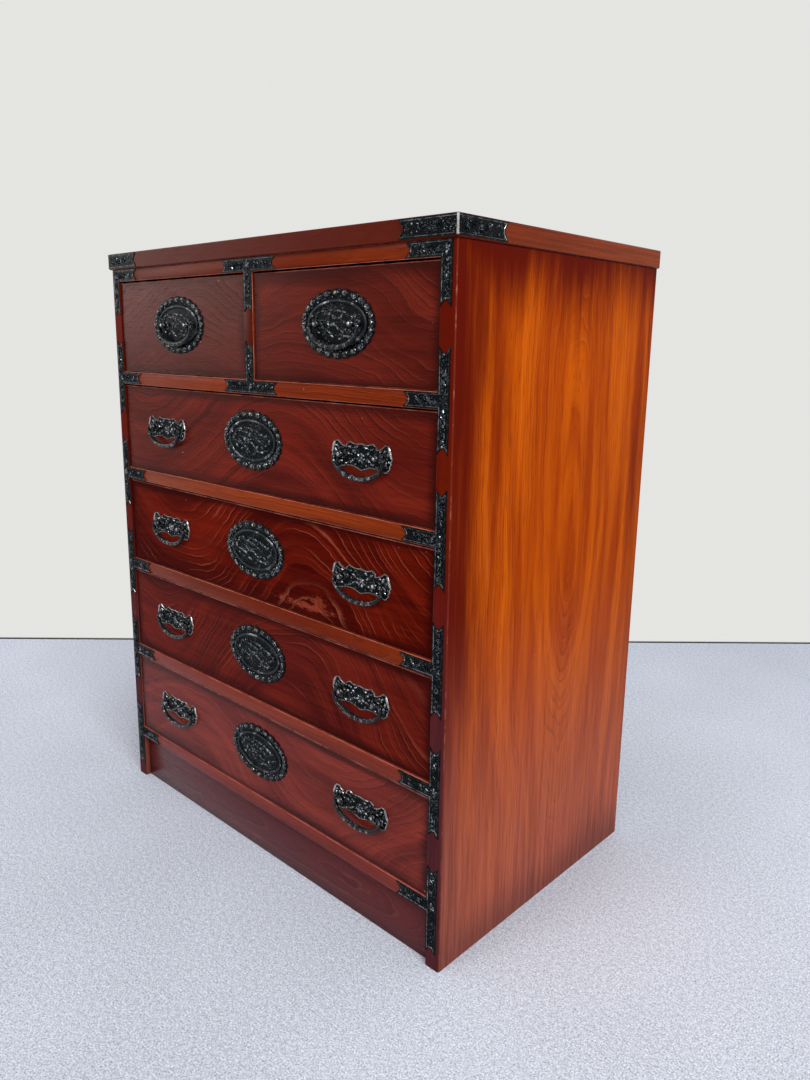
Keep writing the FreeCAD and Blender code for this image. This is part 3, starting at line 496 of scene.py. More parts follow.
washed(STILE_ARRIS, (0.11, 0.026, 0.022), low_down(0.10, 0.50, 0.8))
for node, turn, seed in (("drawer_rails", LENGTHWAYS, 1.7), ("top_rail", LENGTHWAYS, 5.2),
                         ("centre_partition", UPWARDS, 8.9)):
    finish = board_finish(node + "_lacquer", node, turn, *RAIL_STAIN, ring=0.006, taper=0.03, swirl=0.05,
                          reach=1.5, seed=seed, fade=0.004, dark=0.35, light=0.3, streaks=0.9, sheen=0.06)
    if node == "top_rail":
        washed(finish, (0.085, 0.009, 0.004), toward_the_left, RAIL_STREAKS)
    if node == "drawer_rails":
        # Painted reflection: the lower rails are washed pinker towards the floor, below 0.44 m, in place of
        # the pale felt's sheen.
        washed(finish, (0.19, 0.040, 0.038), low_down(0.14, 0.44, 0.75), RAIL_STREAKS)
    eased(node, "case", "frame_wood", 0.0007, finish, RUBBED_RAIL)
kick_finish = board_finish("kick_stain", "kickboard", LENGTHWAYS, *KICK_STAIN, ring=0.007, swirl=0.12,
                           reach=1.5, seed=2.2, fade=0.02, light=0.25, sheen=0.3, tint=(1.0, 0.50, 0.48))
eased("kickboard", "case", "kick_wood", 0.0006, kick_finish, RUBBED)

# ------------------------------ boards that stay bare
# Shelves, bottom, back and the drawers' boxes are light softwood, planed and left unfinished, a
# little browner with age. The back is a row of upright boards with V grooves between them.
BARE = ((0.27, 0.150, 0.065), (0.52, 0.35, 0.19), (0.64, 0.46, 0.27))
BACK_BOARD = 0.1384


def bare_finish(node, turn, seed, label="_bare"):
    """Bare softwood, added as the next material of the CAD piece."""
    finish = board_finish(node + label, node, turn, *BARE, ring=0.007, swirl=0.04, reach=1.2, seed=seed,
                          fade=0.02, dark=0.35, light=0.5, streaks=0.6, relief=0.12, sheen=0.2)
    if label == "_bare":
        NODES[node].data.materials.clear()
    NODES[node].data.materials.append(finish)
    return finish


back_finish = bare_finish("back_panel", UP_THE_BACK, 4.0)
back_place = Field(found(back_finish, "TEX_COORD"), "Object")
board = (split(back_place)[0] * (1 / BACK_BOARD) + 2.5).calc("FLOOR")
feed(found(back_finish, "GROUP"), {"Seed": board * 7.3 + 4.0})
bare_finish("shelves", FLAT, 5.0)
bare_finish("bottom_board", FLAT, 6.0)

# ------------------------------ drawers
# Each drawer has a thick flame-figured front whose face is eased all round, stained darkest at its
# ends, and a bare box: two sides, a rebated back and a thin bottom.
FRONT_EDGE = (0.034, 0.0020, 0.0014)
FRONTS = (
    # drawer, seed, ring, swirl, reach, arch, peak, dark, light, streaks, sheen, stain, flame
    ("small_left", 11.3, 0.012, 0.14, 3.2, 0.050, 0.06, 0.85, 0.20, 0.50, 0.16,
     (0.058, 0.0050, 0.0038), (0.150, 0.0165, 0.0100)),
    ("small_right", 15.1, 0.011, 0.16, 3.0, 0.045, -0.08, 0.42, 0.14, 0.65, 0.09,
     (0.056, 0.0034, 0.0024), (0.190, 0.0180, 0.0080)),
    ("long_1", 21.7, 0.013, 0.16, 2.6, 0.060, 0.03, 0.58, 0.22, 0.75, 0.09,
     (0.064, 0.0034, 0.0020), (0.210, 0.0170, 0.0070)),
    ("long_2", 37.4, 0.017, 0.19, 2.4, 0.085, 0.12, 0.60, 0.75, 0.60, 0.01,
     (0.044, 0.0014, 0.0009), (0.240, 0.0150, 0.0036)),
    ("long_3", 41.9, 0.015, 0.20, 2.6, 0.110, 0.06, 0.50, 0.34, 0.65, 0.03,
     (0.060, 0.0032, 0.0022), (0.220, 0.0180, 0.0085)),
    ("long_4", 52.6, 0.014, 0.18, 2.4, 0.070, -0.16, 0.26, 0.22, 0.75, 0.18,
     (0.095, 0.0080, 0.0052), (0.290, 0.0360, 0.0190)),
)
DRAWERS = [row[0] for row in FRONTS]
BOX_SIDE = 0.012


def worn_patch(at, half_wide, half_tall):
    """The share of a place where the lacquer has worn to paler wood, in streaks along the grain."""

    def share(place):
        near = mapped(place, "TEXTURE", Location=at, Scale=(half_wide, 1.0, half_tall))
        streaky = noise(mapped(place, Scale=(110.0, 1.0, 420.0)), 1.0, 4, 0.75)
        return ramped(streaky * 3.0 - 0.8 - vector_calc("LENGTH", near), -0.15, 0.45, 0.0, 0.75)

    return share


for drawer, seed, ring, swirl, reach, arch, peak, dark, light, streaks, sheen, stain, flame in FRONTS:
    body = drawer + "_drawer"
    node = drawer + "_front"
    finish = board_finish(node + "_lacquer", node, LENGTHWAYS, FRONT_EDGE, stain, flame, sheen=sheen,
                          tint=(1.0, 0.40, 0.42) if drawer == "long_4" else AMBER, ring=ring, taper=0.0,
                          heart=0.03, aside=0.14, swirl=swirl, reach=reach, seed=seed, arch=arch, peak=peak,
                          fade=0.019, dark=dark, light=light, streaks=streaks)
    mesh = lifted(node)
    marked([face for face in mesh.faces if -0.95 < face.normal.y < -0.05], 1)
    if drawer == "long_2":
        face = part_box(node)[0].y
        washed(finish, (0.29, 0.050, 0.025), worn_patch((0.115, face, 0.4305), 0.080, 0.0075))
        washed(finish, (0.24, 0.038, 0.018), worn_patch((0.138, face, 0.4400), 0.022, 0.0130))
    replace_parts(placed(mesh, node + "_board", body, "front_wood", finish, RUBBED), node)
    bare_finish(drawer + "_box", LENGTHWAYS, seed + 1)
    bare_finish(drawer + "_box", FRONT_TO_BACK, seed + 3, "_sides_bare")
    low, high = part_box(drawer + "_box")
    for polygon in NODES[drawer + "_box"].data.polygons:
        if min(polygon.center.x - low.x, high.x - polygon.center.x) < BOX_SIDE + 0.001:
            polygon.material_index = 1
    bare_finish(drawer + "_bottom", FLAT, seed + 2)

# ------------------------------ straps and corner plates
# Every joint of the case is covered by a sheet-iron strap with swallow-tail ends, blackened and
# chased with curling tendrils inside a plain rim. Raised work is rubbed bright, and that silver is
# also painted highlight for the glints the raised work catches. Small round-headed nails hold each strap.
CURLS, given, out = new_group(
    "Chased Tendrils",
    {"Vector": "Vector", "Scale": "Float"},
    {"Height": "Float", "Bright": "Float"},
)
drift = Field(add(CURLS, "TexNoise", {"Vector": given["Vector"], "Scale": 90.0}), "Color")
stirred = vector_calc("ADD", given["Vector"], vector_calc("MULTIPLY", drift, (0.0035, 0.0035, 0.0035)))
cells = add(CURLS, "TexVoronoi", {"Vector": stirred, "Scale": given["Scale"], "Randomness": 0.75},
            voronoi_dimensions="3D")
offset = vector_calc("SUBTRACT", stirred, Field(cells, "Position"))
x, y, z = split(offset)
angle = z.calc("ARCTAN2", x + y)
curl = (angle * 2.0 + vector_calc("LENGTH", offset) * (given["Scale"] * 13.0)).calc("SINE")
leaf = ramped(noise(given["Vector"], 420.0, 1), 0.46, 0.62)
height = ramped(curl, -0.15, 0.75) * (leaf * 0.5 + 0.5)
# Painted highlight: the highest curls, in noisy patches, are marked bright for silver that stands for rubbed
# iron and for the glints the relief catches.
rubbed_and_glinting_tops = ramped(height, 0.62, 1.0) * ramped(noise(given["Vector"], 60.0), 0.42, 0.62)
feed(out, {"Height": height, "Bright": rubbed_and_glinting_tops})

BLACK = (0.0018, 0.0031, 0.0038)
RUBBED_AND_GLINT_SILVER = (0.42, 0.45, 0.47)
RELIEF_DEPTH = 0.0004


def iron_finish(name, scale, silvering, roughness=0.24):
    """Blackened iron; scale is how fine the tendrils are, and the third argument how bright their tops
    are painted: rubbed silver that also stands in for the glints that the relief catches.
    """
    material, shader, place, _ = new_material(name)
    chased = add(place.tree, "Group", {"Vector": place, "Scale": scale}, node_tree=CURLS)
    bright = Field(chased, "Bright") * silvering
    worn = rubbed(place, 300, 0.3, 0.7)[0]
    feed(shader, {"Base Color": blended(bright, BLACK, RUBBED_AND_GLINT_SILVER), "Metallic": bright * 0.8,
                  "Roughness": ramped(worn, 0, 1, roughness - 0.06, roughness + 0.08),
                  "Normal": bumped(Field(chased, "Height"), 1.0, RELIEF_DEPTH), "Specular IOR Level": 0.06})
    return material


def smooth_iron(name, black, silver, low, high, roughness=0.24, grain=160, shine=0.2, metal=0.0):
    """Plain iron, rubbed bright where the patches lie between low and high. The bright patches are
    painted: they stand for rubbed iron and also for the highlights that it catches.
    """
    material, shader, place, _ = new_material(name)
    worn, tooth = rubbed(place, grain, low, high)
    feed(shader, {"Base Color": blended(worn, black, silver), "Metallic": ramped(worn, 0, 1, metal, 0.9),
                  "Roughness": ramped(worn, 0, 1, roughness, roughness - 0.04),
                  "Normal": bumped(tooth, 0.3, 0.0003), "Specular IOR Level": shine})
    return material


CHASED = iron_finish("chased_strap_iron", 260, 0.35)
RIM = smooth_iron("strap_rim_iron", BLACK, (0.06, 0.06, 0.06), 0.50, 0.80, shine=0.08)
EDGE_LINE = smooth_iron("strap_edge_iron", (0.02, 0.023, 0.025), (0.30, 0.31, 0.32), 0.40, 0.66)
SCROLL_IRON = smooth_iron("scroll_iron", (0.006, 0.009, 0.011), (0.30, 0.34, 0.37), 0.49, 0.70, grain=130,
                          shine=0.15)
NAIL_IRON = smooth_iron("nail_iron", (0.02, 0.02, 0.022), (0.45, 0.44, 0.42), 0.42, 0.66)

STRAP_RIM = 0.0017
STRAP_SLOPE = 0.0005
STRAP_SUNK = 0.0004
NAIL = 0.0013
NAIL_DOME = 0.0007 / NAIL
# Reliefs are drawn once as masters, in millimetres with their backs on y = 0. Their copies are
# brought to metres where they are put.
MM = 0.001


def nail_heads(mesh, spots, flat=(1, NAIL_DOME, 1, 1)):
    """Domed nail heads at spots, flattened along the axis that the face looks to."""
    for spot in spots:
        bmesh.ops.create_uvsphere(mesh, u_segments=10, v_segments=6, radius=NAIL,
                                  matrix=Matrix.Translation(spot) @ Matrix.Diagonal(flat))


def bead(mesh, x, z, wide, tall, proud, turn=0.0, base=0.0, segments=10):
    """A rounded lump of this half width and half height, standing this proud of its base."""
    at = Matrix.Translation((x, -base, z)) @ Matrix.Rotation(-math.radians(turn), 4, "Y")
    bmesh.ops.create_uvsphere(mesh, u_segments=segments, v_segments=max(6, segments // 2), radius=1.0,
                              matrix=at @ Matrix.Diagonal((wide, proud, tall, 1)))


def drawn_on(mesh, edges):
    """A ring of edges extruded: the new ring's vertices and its edges."""
    made = bmesh.ops.extrude_edge_only(mesh, edges=edges)["geom"]
    verts = [item for item in made if isinstance(item, bmesh.types.BMVert)]
    return verts, [item for item in made if isinstance(item, bmesh.types.BMEdge) and item.is_boundary]


def drawn_bar(mesh, stations, sides=8):
    """A bar drawn through stations of (x, y, z, half width, half depth)."""
    points = [Vector(station[:3]) for station in stations]
    last = None
    edges = []
    for number, station in enumerate(stations):
        ahead = points[min(number + 1, len(points) - 1)] - points[max(number - 1, 0)]
        ahead.normalize()
        side = Vector((0, 1, 0)).cross(ahead).normalized()
        over = ahead.cross(side).normalized()
        here = Matrix((side * station[3], over * station[4], ahead)).transposed().to_4x4()
        here.translation = points[number]
        if last is None:
            verts = bmesh.ops.create_circle(mesh, cap_ends=True, segments=sides, radius=1.0)["verts"]
            bmesh.ops.transform(mesh, matrix=here, verts=verts)
            edges = list({edge for vert in verts for edge in vert.link_edges})
        else:
            verts, edges = drawn_on(mesh, edges)
            bmesh.ops.transform(mesh, matrix=here @ last.inverted(), verts=verts)
        last = here
    bmesh.ops.holes_fill(mesh, edges=edges, sides=0)


def scrollwork(count, pitch, radius, swing):
    """A run of tendrils along +x on the plane y = 0: a wavy stem with a curl in each of its bends."""
    mesh = bmesh.new()
    stem = []
    for step in range(count * 4 + 1):
        share = step / 4
        stem.append((share * pitch, 0, -swing * math.sin(math.pi * (share - 0.5)) * 1.15, 0.42, 0.6))
    drawn_bar(mesh, stem, 4)
    for number in range(count):
        hand = 1 if number % 2 else -1
        middle, side = (number + 0.5) * pitch, hand * swing * 0.55
        curl = []
        for step in range(9):
            share = step / 8
            turn = math.radians(-150 + share * 500)
            reach = radius * (1.0 - 0.78 * share)
            curl.append((middle + reach * math.cos(turn), 0, side + hand * reach * math.sin(turn),
                         0.5 * (1 - 0.3 * share), 0.8))
        drawn_bar(mesh, curl, 4)
        bead(mesh, middle, side, 0.7, 0.7, 0.9, segments=6)
        bead(mesh, middle + pitch * 0.42, -hand * swing * 0.95, 1.4, 0.6, 0.7, hand * 50, segments=6)
    return mesh


def rosette(petals, reach, long, wide, proud):
    """A flower of pointed petals round a seed, on the plane y = 0."""
    mesh = bmesh.new()
    for petal in range(petals):
        degrees = 90 + petal * 360 / petals
        turn = math.radians(degrees)
        bead(mesh, reach * math.cos(turn), reach * math.sin(turn), long, wide, proud, degrees, segments=8)
    bead(mesh, 0, 0, reach * 0.42, reach * 0.42, proud * 1.3, segments=8)
    return mesh


def laid(mesh, master, at, turn=0.0, about="Y", flip=1):
    """A copy of a master relief added to a mesh: turned, mirrored if flip is -1, and placed."""
    copy = bpy.data.meshes.new("copy")
    master.to_mesh(copy)
    copy.transform(Matrix.Translation(at) @ Matrix.Rotation(math.radians(turn), 4, about)
                   @ Matrix.Diagonal((flip * MM, MM, MM, 1)))
    mesh.from_mesh(copy)
    bpy.data.meshes.remove(copy)


def drawn_in(mesh, field, border, depth, even=True):
    """The field drawn in by a border and moved by a depth; gives the border's faces."""
    return bmesh.ops.inset_region(mesh, faces=field, thickness=border, depth=depth, use_even_offset=even,
                                  use_boundary=True)["faces"]


def strap(node, body, facing):
    """The strap with a plain rim round a sunk chased field on each face that faces out."""
    mesh = lifted(node)
    field = [face for face in mesh.faces if facing(face.normal)]
    marked(mesh.faces, 1)
    drawn_in(mesh, field, STRAP_RIM, 0)
    slope = drawn_in(mesh, field, STRAP_SLOPE, -STRAP_SUNK)
    marked(field, 0)
    marked(slope, 2)
    piece = placed(mesh, node + "_chased", body, "iron", CHASED, RIM, EDGE_LINE, sharp=25)
    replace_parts(piece, node)
    return piece


def to_front(normal):
    return normal.y < -0.9


def outwards(normal):
    return normal.y < -0.5 or abs(normal.x) > 0.5


for node in ("left_tee_plates", "right_tee_plates", "left_corner_plate", "right_corner_plate",
             "upper_centre_tee", "lower_centre_tee"):
    strap(node, "case", to_front)

LEG_SCROLL = scrollwork(5, 8.0, 3.0, 2.6)
ARM_SCROLL = scrollwork(4, 8.4, 3.7, 3.4)
JOINT_FLOWER = rosette(6, 4.0, 2.6, 1.5, 1.0)
scrolls, nails = bmesh.new(), bmesh.new()
strap_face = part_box("right_corner_plate")[0].y
# Each way's step in x and z, its turn and its mirroring.
WAYS = {"right": (1, 0, 0, 1), "left": (-1, 0, 0, -1), "up": (0, 1, -90, 1), "down": (0, -1, 90, 1)}
HALF_BAR = 0.00825
RAIL_MIDDLE = 0.010
ARM_MIDDLE = 0.0095
LEG_NAIL = 0.0088
ARM_NAIL = 0.0090
CENTRE_NAIL = 0.0070
SIDE_GAP, CENTRE_GAP = 0.0085, 0.0090
# How far a tee's leg reaches down and up from its arm; the lowest tee's reaches nearly to the floor.
LOWEST_REACH, REACH = (0.066, 0.057), (0.0595, 0.0595)


def chased_joint(x, z, *runs):
    """A flower where a strap's bars meet, and tendrils that start at a gap from it."""
    laid(scrolls, JOINT_FLOWER, (x, strap_face, z))
    for way, scroll, gap in runs:
        step_x, step_z, turn, flip = WAYS[way]
        laid(scrolls, scroll, (x + step_x * gap, strap_face, z + step_z * gap), turn, flip=flip)


def strap_nails(*spots):
    nail_heads(nails, [(x, strap_face, z) for x, z in spots])


tees_low, tees_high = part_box("right_tee_plates")
bar = tees_high.x - HALF_BAR
rail_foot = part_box("drawer_rails")[0].z
pitch_up = (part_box("long_1_front")[0].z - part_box("long_4_front")[0].z) / 3
for level in range(5):
    middle = rail_foot + RAIL_MIDDLE + level * pitch_up
    down, up = REACH if level else LOWEST_REACH
    for side, inward in ((-1, "right"), (1, "left")):
        chased_joint(side * bar, middle, ("up", LEG_SCROLL, SIDE_GAP), ("down", LEG_SCROLL, SIDE_GAP),
                     (inward, ARM_SCROLL, SIDE_GAP))
        strap_nails((side * bar, middle + up - LEG_NAIL), (side * bar, middle - down + LEG_NAIL),
                    (side * (tees_low.x + ARM_NAIL), middle))
low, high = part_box("right_corner_plate")
arm = high.z - ARM_MIDDLE
for side, inward in ((-1, "right"), (1, "left")):
    chased_joint(side * bar, arm, ("down", LEG_SCROLL, CENTRE_GAP), (inward, ARM_SCROLL, SIDE_GAP))
    strap_nails((side * bar, low.z + LEG_NAIL), (side * (low.x + ARM_NAIL), arm))
for node, way in (("upper_centre_tee", "down"), ("lower_centre_tee", "up")):
    low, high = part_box(node)
    arm = high.z - ARM_MIDDLE if way == "down" else low.z + RAIL_MIDDLE
    foot = low.z + CENTRE_NAIL if way == "down" else high.z - CENTRE_NAIL
    chased_joint(0, arm, *((each, ARM_SCROLL, CENTRE_GAP) for each in ("right", "left", way)))
    strap_nails((low.x + ARM_NAIL, arm), (high.x - ARM_NAIL, arm), (0.0, foot))
bmesh.ops.recalc_face_normals(scrolls, faces=scrolls.faces)
placed(scrolls, "strap_scrolls", "case", "iron", SCROLL_IRON, sharp=50)
placed(nails, "strap_nails", "case", "iron", NAIL_IRON)

# ------------------------------ slab corner plates
# Two plates are bent round the slab's front corners. Their bend is the most worn iron of the
# chest, bare down the fold and painted bright there, for that wear and for the highlight the fold catches.
WORN_AND_HIGHLIT_BEND = smooth_iron("worn_bend_iron", (0.10, 0.10, 0.10), (0.62, 0.58, 0.54), 0.34, 0.60)
SLAB_SCROLL = scrollwork(4, 12.5, 5.2, 4.2)
NAIL_RISES = (0.0045, -0.0045)
FOLD_GAP = 0.009
FRONT_NAIL, SIDE_NAIL = 0.066, 0.070
SIDE_DOME = (0.54, 1, 1, 1)
for side, sign in (("left", -1), ("right", 1)):
    node = side + "_slab_plate"
    piece = strap(node, "case", outwards)
    piece.data.materials.append(WORN_AND_HIGHLIT_BEND)
    # Painted highlight and wear: the fold's slanted faces take the bright bend iron.
    for polygon in piece.data.polygons:
        if abs(polygon.normal.x) > 0.4 and polygon.normal.y < -0.4:
            polygon.material_index = 3
    low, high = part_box(node)
    middle = (low.z + high.z) / 2
    face = sign * max(abs(low.x), abs(high.x))
    scrolls, nails = bmesh.new(), bmesh.new()
    laid(scrolls, SLAB_SCROLL, (face - sign * FOLD_GAP, low.y, middle), flip=-sign)
    laid(scrolls, SLAB_SCROLL, (face, low.y + FOLD_GAP, middle), 90, "Z")
    bmesh.ops.recalc_face_normals(scrolls, faces=scrolls.faces)
    placed(scrolls, node + "_scrolls", "case", "iron", SCROLL_IRON, sharp=50)
    nail_heads(nails, [(face - sign * FRONT_NAIL, low.y, middle + rise) for rise in NAIL_RISES])
    nail_heads(nails, [(face, low.y + SIDE_NAIL, middle + rise) for rise in NAIL_RISES], SIDE_DOME)
    placed(nails, node + "_nails", "case", "iron", NAIL_IRON)
for master in (LEG_SCROLL, ARM_SCROLL, JOINT_FLOWER, SLAB_SCROLL):
    master.free()

# ------------------------------ oval plates
# Each drawer carries a cast oval plate: a rim of curled lobes, a channel, a raised ring and a low
# boss with leafy branches. The ring is painted bright, for rubbed iron and for the highlight it
# catches. On the small drawers it also backs the handle.
OVAL_WIDE, OVAL_HIGH, LOBES = 67.0, 42.5, 24
NOTCH = 2.4
RING_MARGIN = 15.3
# Margin from the outline and rise of the face, from the lobes in to the boss.
OVAL_PROFILE = (
    (0, 1.1), (1.0, 1.7), (3.0, 2.2), (6.2, 2.2), (9.6, 1.4), (11.5, 0.8), (12.8, 0.8), (13.4, 2.2),
    (14.6, 2.8), (16.0, 2.8), (17.2, 2.1), (18.0, 1.1), (21.5, 1.1), (30.0, 1.8), (37.0, 2.2),
)
# Start, end and bow of each branch; place and turn of each leaf; place of each seed.
BRANCHES = (
    ((-36, 12), (30, -6), 6.0), ((-30, 5), (16, -14), 4.5), ((-16, 17), (37, 4), 4.0),
    ((-40, -2), (-4, -17), 4.0), ((4, -12), (38, -11), -3.5), ((-20, -8), (8, 2), 3.0),
)
LEAVES = (
    (-37, 7, 60), (-41, 2, 100), (-33, 13, 20), (-24, 15, -20), (-12, 13, 35), (0, 15, -30), (10, 10, 40),
    (20, 10, -35), (31, 7, 25), (40, 1, 90), (34, -4, 35), (25, -9, -40), (14, -8, 30), (4, -6, -35),
    (-6, -2, 30), (-15, 0, -40), (-27, -4, 35), (-34, -9, -45), (-22, -13, 20), (-10, -14, -30),
    (6, -18, 15), (20, -15, -20), (-4, 7, -25),
)
SEEDS = ((30, -13), (27, -16), (-44, 9), (-28, 0), (15, 2), (-13, 7))
# Half width, half height and rise of each kind of lump; half width and half depth of a branch.
LOBE, LOBE_SEED, RIM_DOT = (5.2, 3.6, 1.6), (1.7, 1.4, 2.4), (1.4, 1.4, 1.3)
LEAF, SEED, STALK = (4.2, 1.7, 1.4), (2.0, 2.0, 1.8), (1.4, 1.3)


def oval_plate():
    """The plate as one shell, drawn in from its outline, its back on y = 0 and its face to -y."""
    mesh = bmesh.new()
    count = LOBES * 6
    bmesh.ops.create_circle(mesh, cap_ends=False, segments=count, radius=1.0,
                            matrix=Matrix.Rotation(math.pi / 2, 4, "X"))
    for vert in mesh.verts:
        swing = math.atan2(vert.co.z, vert.co.x)
        notch = NOTCH * (1 - abs(math.cos(LOBES / 2 * (swing - math.pi / 2)))) ** 1.6
        vert.co.x *= OVAL_WIDE - notch
        vert.co.z *= OVAL_HIGH - notch
    edges = list(mesh.edges)
    outline = edges
    at = (0.0, 0.0)
    for margin, rise in OVAL_PROFILE:
        verts, edges = drawn_on(mesh, edges)
        wide = (OVAL_WIDE - margin) / (OVAL_WIDE - at[0])
        tall = (OVAL_HIGH - margin) / (OVAL_HIGH - at[0])
        bmesh.ops.scale(mesh, vec=(wide, 1, tall), verts=verts)
        bmesh.ops.translate(mesh, vec=(0, at[1] - rise, 0), verts=verts)
        if margin > 5:
            for vert in verts:
                swing = math.atan2(vert.co.z / (OVAL_HIGH - margin), vert.co.x / (OVAL_WIDE - margin))
                vert.co.x = (OVAL_WIDE - margin) * math.cos(swing)
                vert.co.z = (OVAL_HIGH - margin) * math.sin(swing)
        at = (margin, rise)
    bmesh.ops.holes_fill(mesh, edges=edges, sides=0)
    bmesh.ops.holes_fill(mesh, edges=outline, sides=0)
    bmesh.ops.recalc_face_normals(mesh, faces=mesh.faces)
    for face in mesh.faces:
        middle = face.calc_center_median()
        share = math.hypot(middle.x / (OVAL_WIDE - RING_MARGIN), middle.z / (OVAL_HIGH - RING_MARGIN))
        face.material_index = 1 if 0.96 < share < 1.05 and middle.y < -2 else 0
    return mesh


def on_oval(margin, degrees):
    swing = math.radians(degrees)
    return (OVAL_WIDE - margin) * math.cos(swing), (OVAL_HIGH - margin) * math.sin(swing)


def arched(start, end, bow, wide, proud, base, steps=9):
    """Stations of a tapered ridge between two points of the plate, bowed to its left."""
    first, second = Vector(start), Vector(end)
    run = second - first
    left = Vector((-run.y, run.x)).normalized() * bow
    stations = []
    for step in range(steps + 1):
        share = step / steps
        swell = math.sin(math.pi * (0.06 + 0.88 * share))
        spot = first + run * share + left * math.sin(math.pi * share)
        stations.append((spot.x, -base, spot.y, wide * swell, proud * swell))
    return stations


def oval_relief():
    """Lobes, seeds, branches and leaves that stand on the oval plate."""
    mesh = bmesh.new()
    for lobe in range(LOBES):
        degrees = 90 + lobe * 360 / LOBES
        x, z = on_oval(5.5, degrees)
        slope = math.degrees(math.atan2(OVAL_HIGH * math.cos(math.radians(degrees)),
                                        -OVAL_WIDE * math.sin(math.radians(degrees))))
        bead(mesh, x, z, *LOBE, slope, 1.9)
        bead(mesh, x, z, *LOBE_SEED, slope, 1.9, 8)
        x, z = on_oval(9.8, degrees + 180 / LOBES)
        bead(mesh, x, z, *RIM_DOT, 0, 1.2, 8)
    rim = set(mesh.faces)
    for start, end, bow in BRANCHES:
        drawn_bar(mesh, arched(start, end, bow, *STALK, 1.8))
    for x, z, turn in LEAVES:
        bead(mesh, x, z, *LEAF, turn, 1.8)
    for x, z in SEEDS:
        bead(mesh, x, z, *SEED, 0, 1.8, 8)
    marked([face for face in mesh.faces if face not in rim], 1)
    return mesh


JET = (0.004, 0.006, 0.007)
CAST = iron_finish("cast_oval_iron", 230, 0.25, 0.22)
# The ring's rubbed silver is painted highlight as well as wear.
RING = smooth_iron("oval_ring_iron", (0.014, 0.017, 0.019), (0.42, 0.44, 0.46), 0.52, 0.72, grain=60,
                   shine=0.14)
LOBE_IRON = smooth_iron("lobe_iron", JET, (0.50, 0.52, 0.52), 0.52, 0.68, 0.22, 420)
BRANCH = smooth_iron("branch_iron", JET, (0.36, 0.38, 0.39), 0.48, 0.68, grain=260, shine=0.15)
BRASS = smooth_iron("old_brass", (0.16, 0.09, 0.03), (0.55, 0.40, 0.20), 0.35, 0.65)
OVAL = oval_plate()
OVAL_RELIEF = oval_relief()
OVAL_NAILS = bmesh.new()
for rise in (37.1, -37.1):
    bead(OVAL_NAILS, 0, rise, 1.9, 1.9, 1.4, 0, 3.6)


def struck(master, name, body, at, *materials, sharp=40):
    """A copy of a master piece at its place on a drawer."""
    mesh = master.copy()
    bmesh.ops.transform(mesh, matrix=Matrix.Translation(at) @ Matrix.Scale(MM, 4), verts=mesh.verts)
    return placed(mesh, name, body, "iron", *materials, sharp=sharp)


face_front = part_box("long_1_front")[0].y
for drawer in DRAWERS:
    long = drawer.startswith("long")
    node = drawer + ("_plates" if long else "_plate")
    low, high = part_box(node)
    middle = Vector((0.0 if long else (low.x + high.x) / 2, face_front, (low.z + high.z) / 2))
    body = drawer + "_drawer"
    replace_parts(struck(OVAL, drawer + "_oval", body, middle, CAST, RING), node)
    struck(OVAL_RELIEF, drawer + "_oval_relief", body, middle, LOBE_IRON, BRANCH)
    struck(OVAL_NAILS, drawer + "_oval_nails", body, middle, BRASS)

# ------------------------------ handle plates
# A bat-wing plate lies under each handle of the long drawers: festooned top, wings with toothed
# ends, a raised rim, a flower in the middle and leaves on both wings.
WING_FIELD = iron_finish("chased_wing_iron", 240, 0.2, 0.22)
WING_RIM = smooth_iron("wing_rim_iron", (0.03, 0.03, 0.03), (0.44, 0.40, 0.38), 0.38, 0.62)
RELIEF = smooth_iron("raised_iron", JET, (0.66, 0.66, 0.68), 0.50, 0.66, 0.22, 300, 0.3)
BRIGHT = smooth_iron("bright_end_iron", (0.12, 0.12, 0.12), (0.60, 0.58, 0.56), 0.36, 0.58, 0.30)
WING_INNER = 0.11
# Width and depth of the steps up to the rim and down to the field.
WING_STEPS = ((0.0008, 0.0007), (0.0007, -0.0009))
# Place, half length, half width and turn of each leaf on a right wing; place of each seed; place,
# half width and half depth of the slanted end.
WING_LEAVES = (
    (12.5, 4, 4.2, 1.8, 35), (13, -6, 4.5, 1.8, -25), (19, 9, 3.8, 1.6, 15), (9, 10, 3.6, 1.6, -20),
    (20, -9.5, 4.0, 1.6, -10), (23, 1.5, 3.0, 1.5, 60), (40, 7, 4.4, 2.0, 55), (41, -3, 4.6, 2.0, -35),
    (37, -10, 4.4, 1.7, -15), (45.5, 3, 4.0, 1.8, 80), (34, 7.5, 3.0, 1.6, 20), (43, -8.5, 3.4, 1.6, -55),
    (28, -11.5, 3.6, 1.5, 5),
)
WING_SEEDS = ((16.5, 0.5), (9.5, -11.5), (44.5, 9.5), (33, -4.5), (48.5, -3.5))
# Half width, half height and rise of the other lumps, and the leaves' rise.
PETAL, FLOWER_EYE, WING_SEED, LEAF_RISE = (3.0, 1.9, 1.4), (2.4, 2.4, 2.0), (1.4, 1.4, 1.6), 1.4
WING_END = ((47.2, -1.3, 14, 1.2, 1.2), (48.5, -1.5, 11.2, 1.7, 1.3), (50.6, -1.5, 5, 1.7, 1.3),
            (51.8, -1.3, 1.2, 1.2, 1.1))


def wing_plate(node, name, body, sign):
    """The CAD plate's left (-1) or right (1) wing with a raised rim round a sunk field."""
    mesh = lifted(node)
    others = [vert for vert in mesh.verts if vert.co.x * sign < WING_INNER]
    bmesh.ops.delete(mesh, geom=others, context="VERTS")
    field = [face for face in mesh.faces if to_front(face.normal)]
    drawn_in(mesh, field, *WING_STEPS[0], even=False)
    marked(mesh.faces, 1)
    drawn_in(mesh, field, *WING_STEPS[1], even=False)
    marked(field, 0)
    return placed(mesh, name, body, "iron", WING_FIELD, WING_RIM, sharp=30)


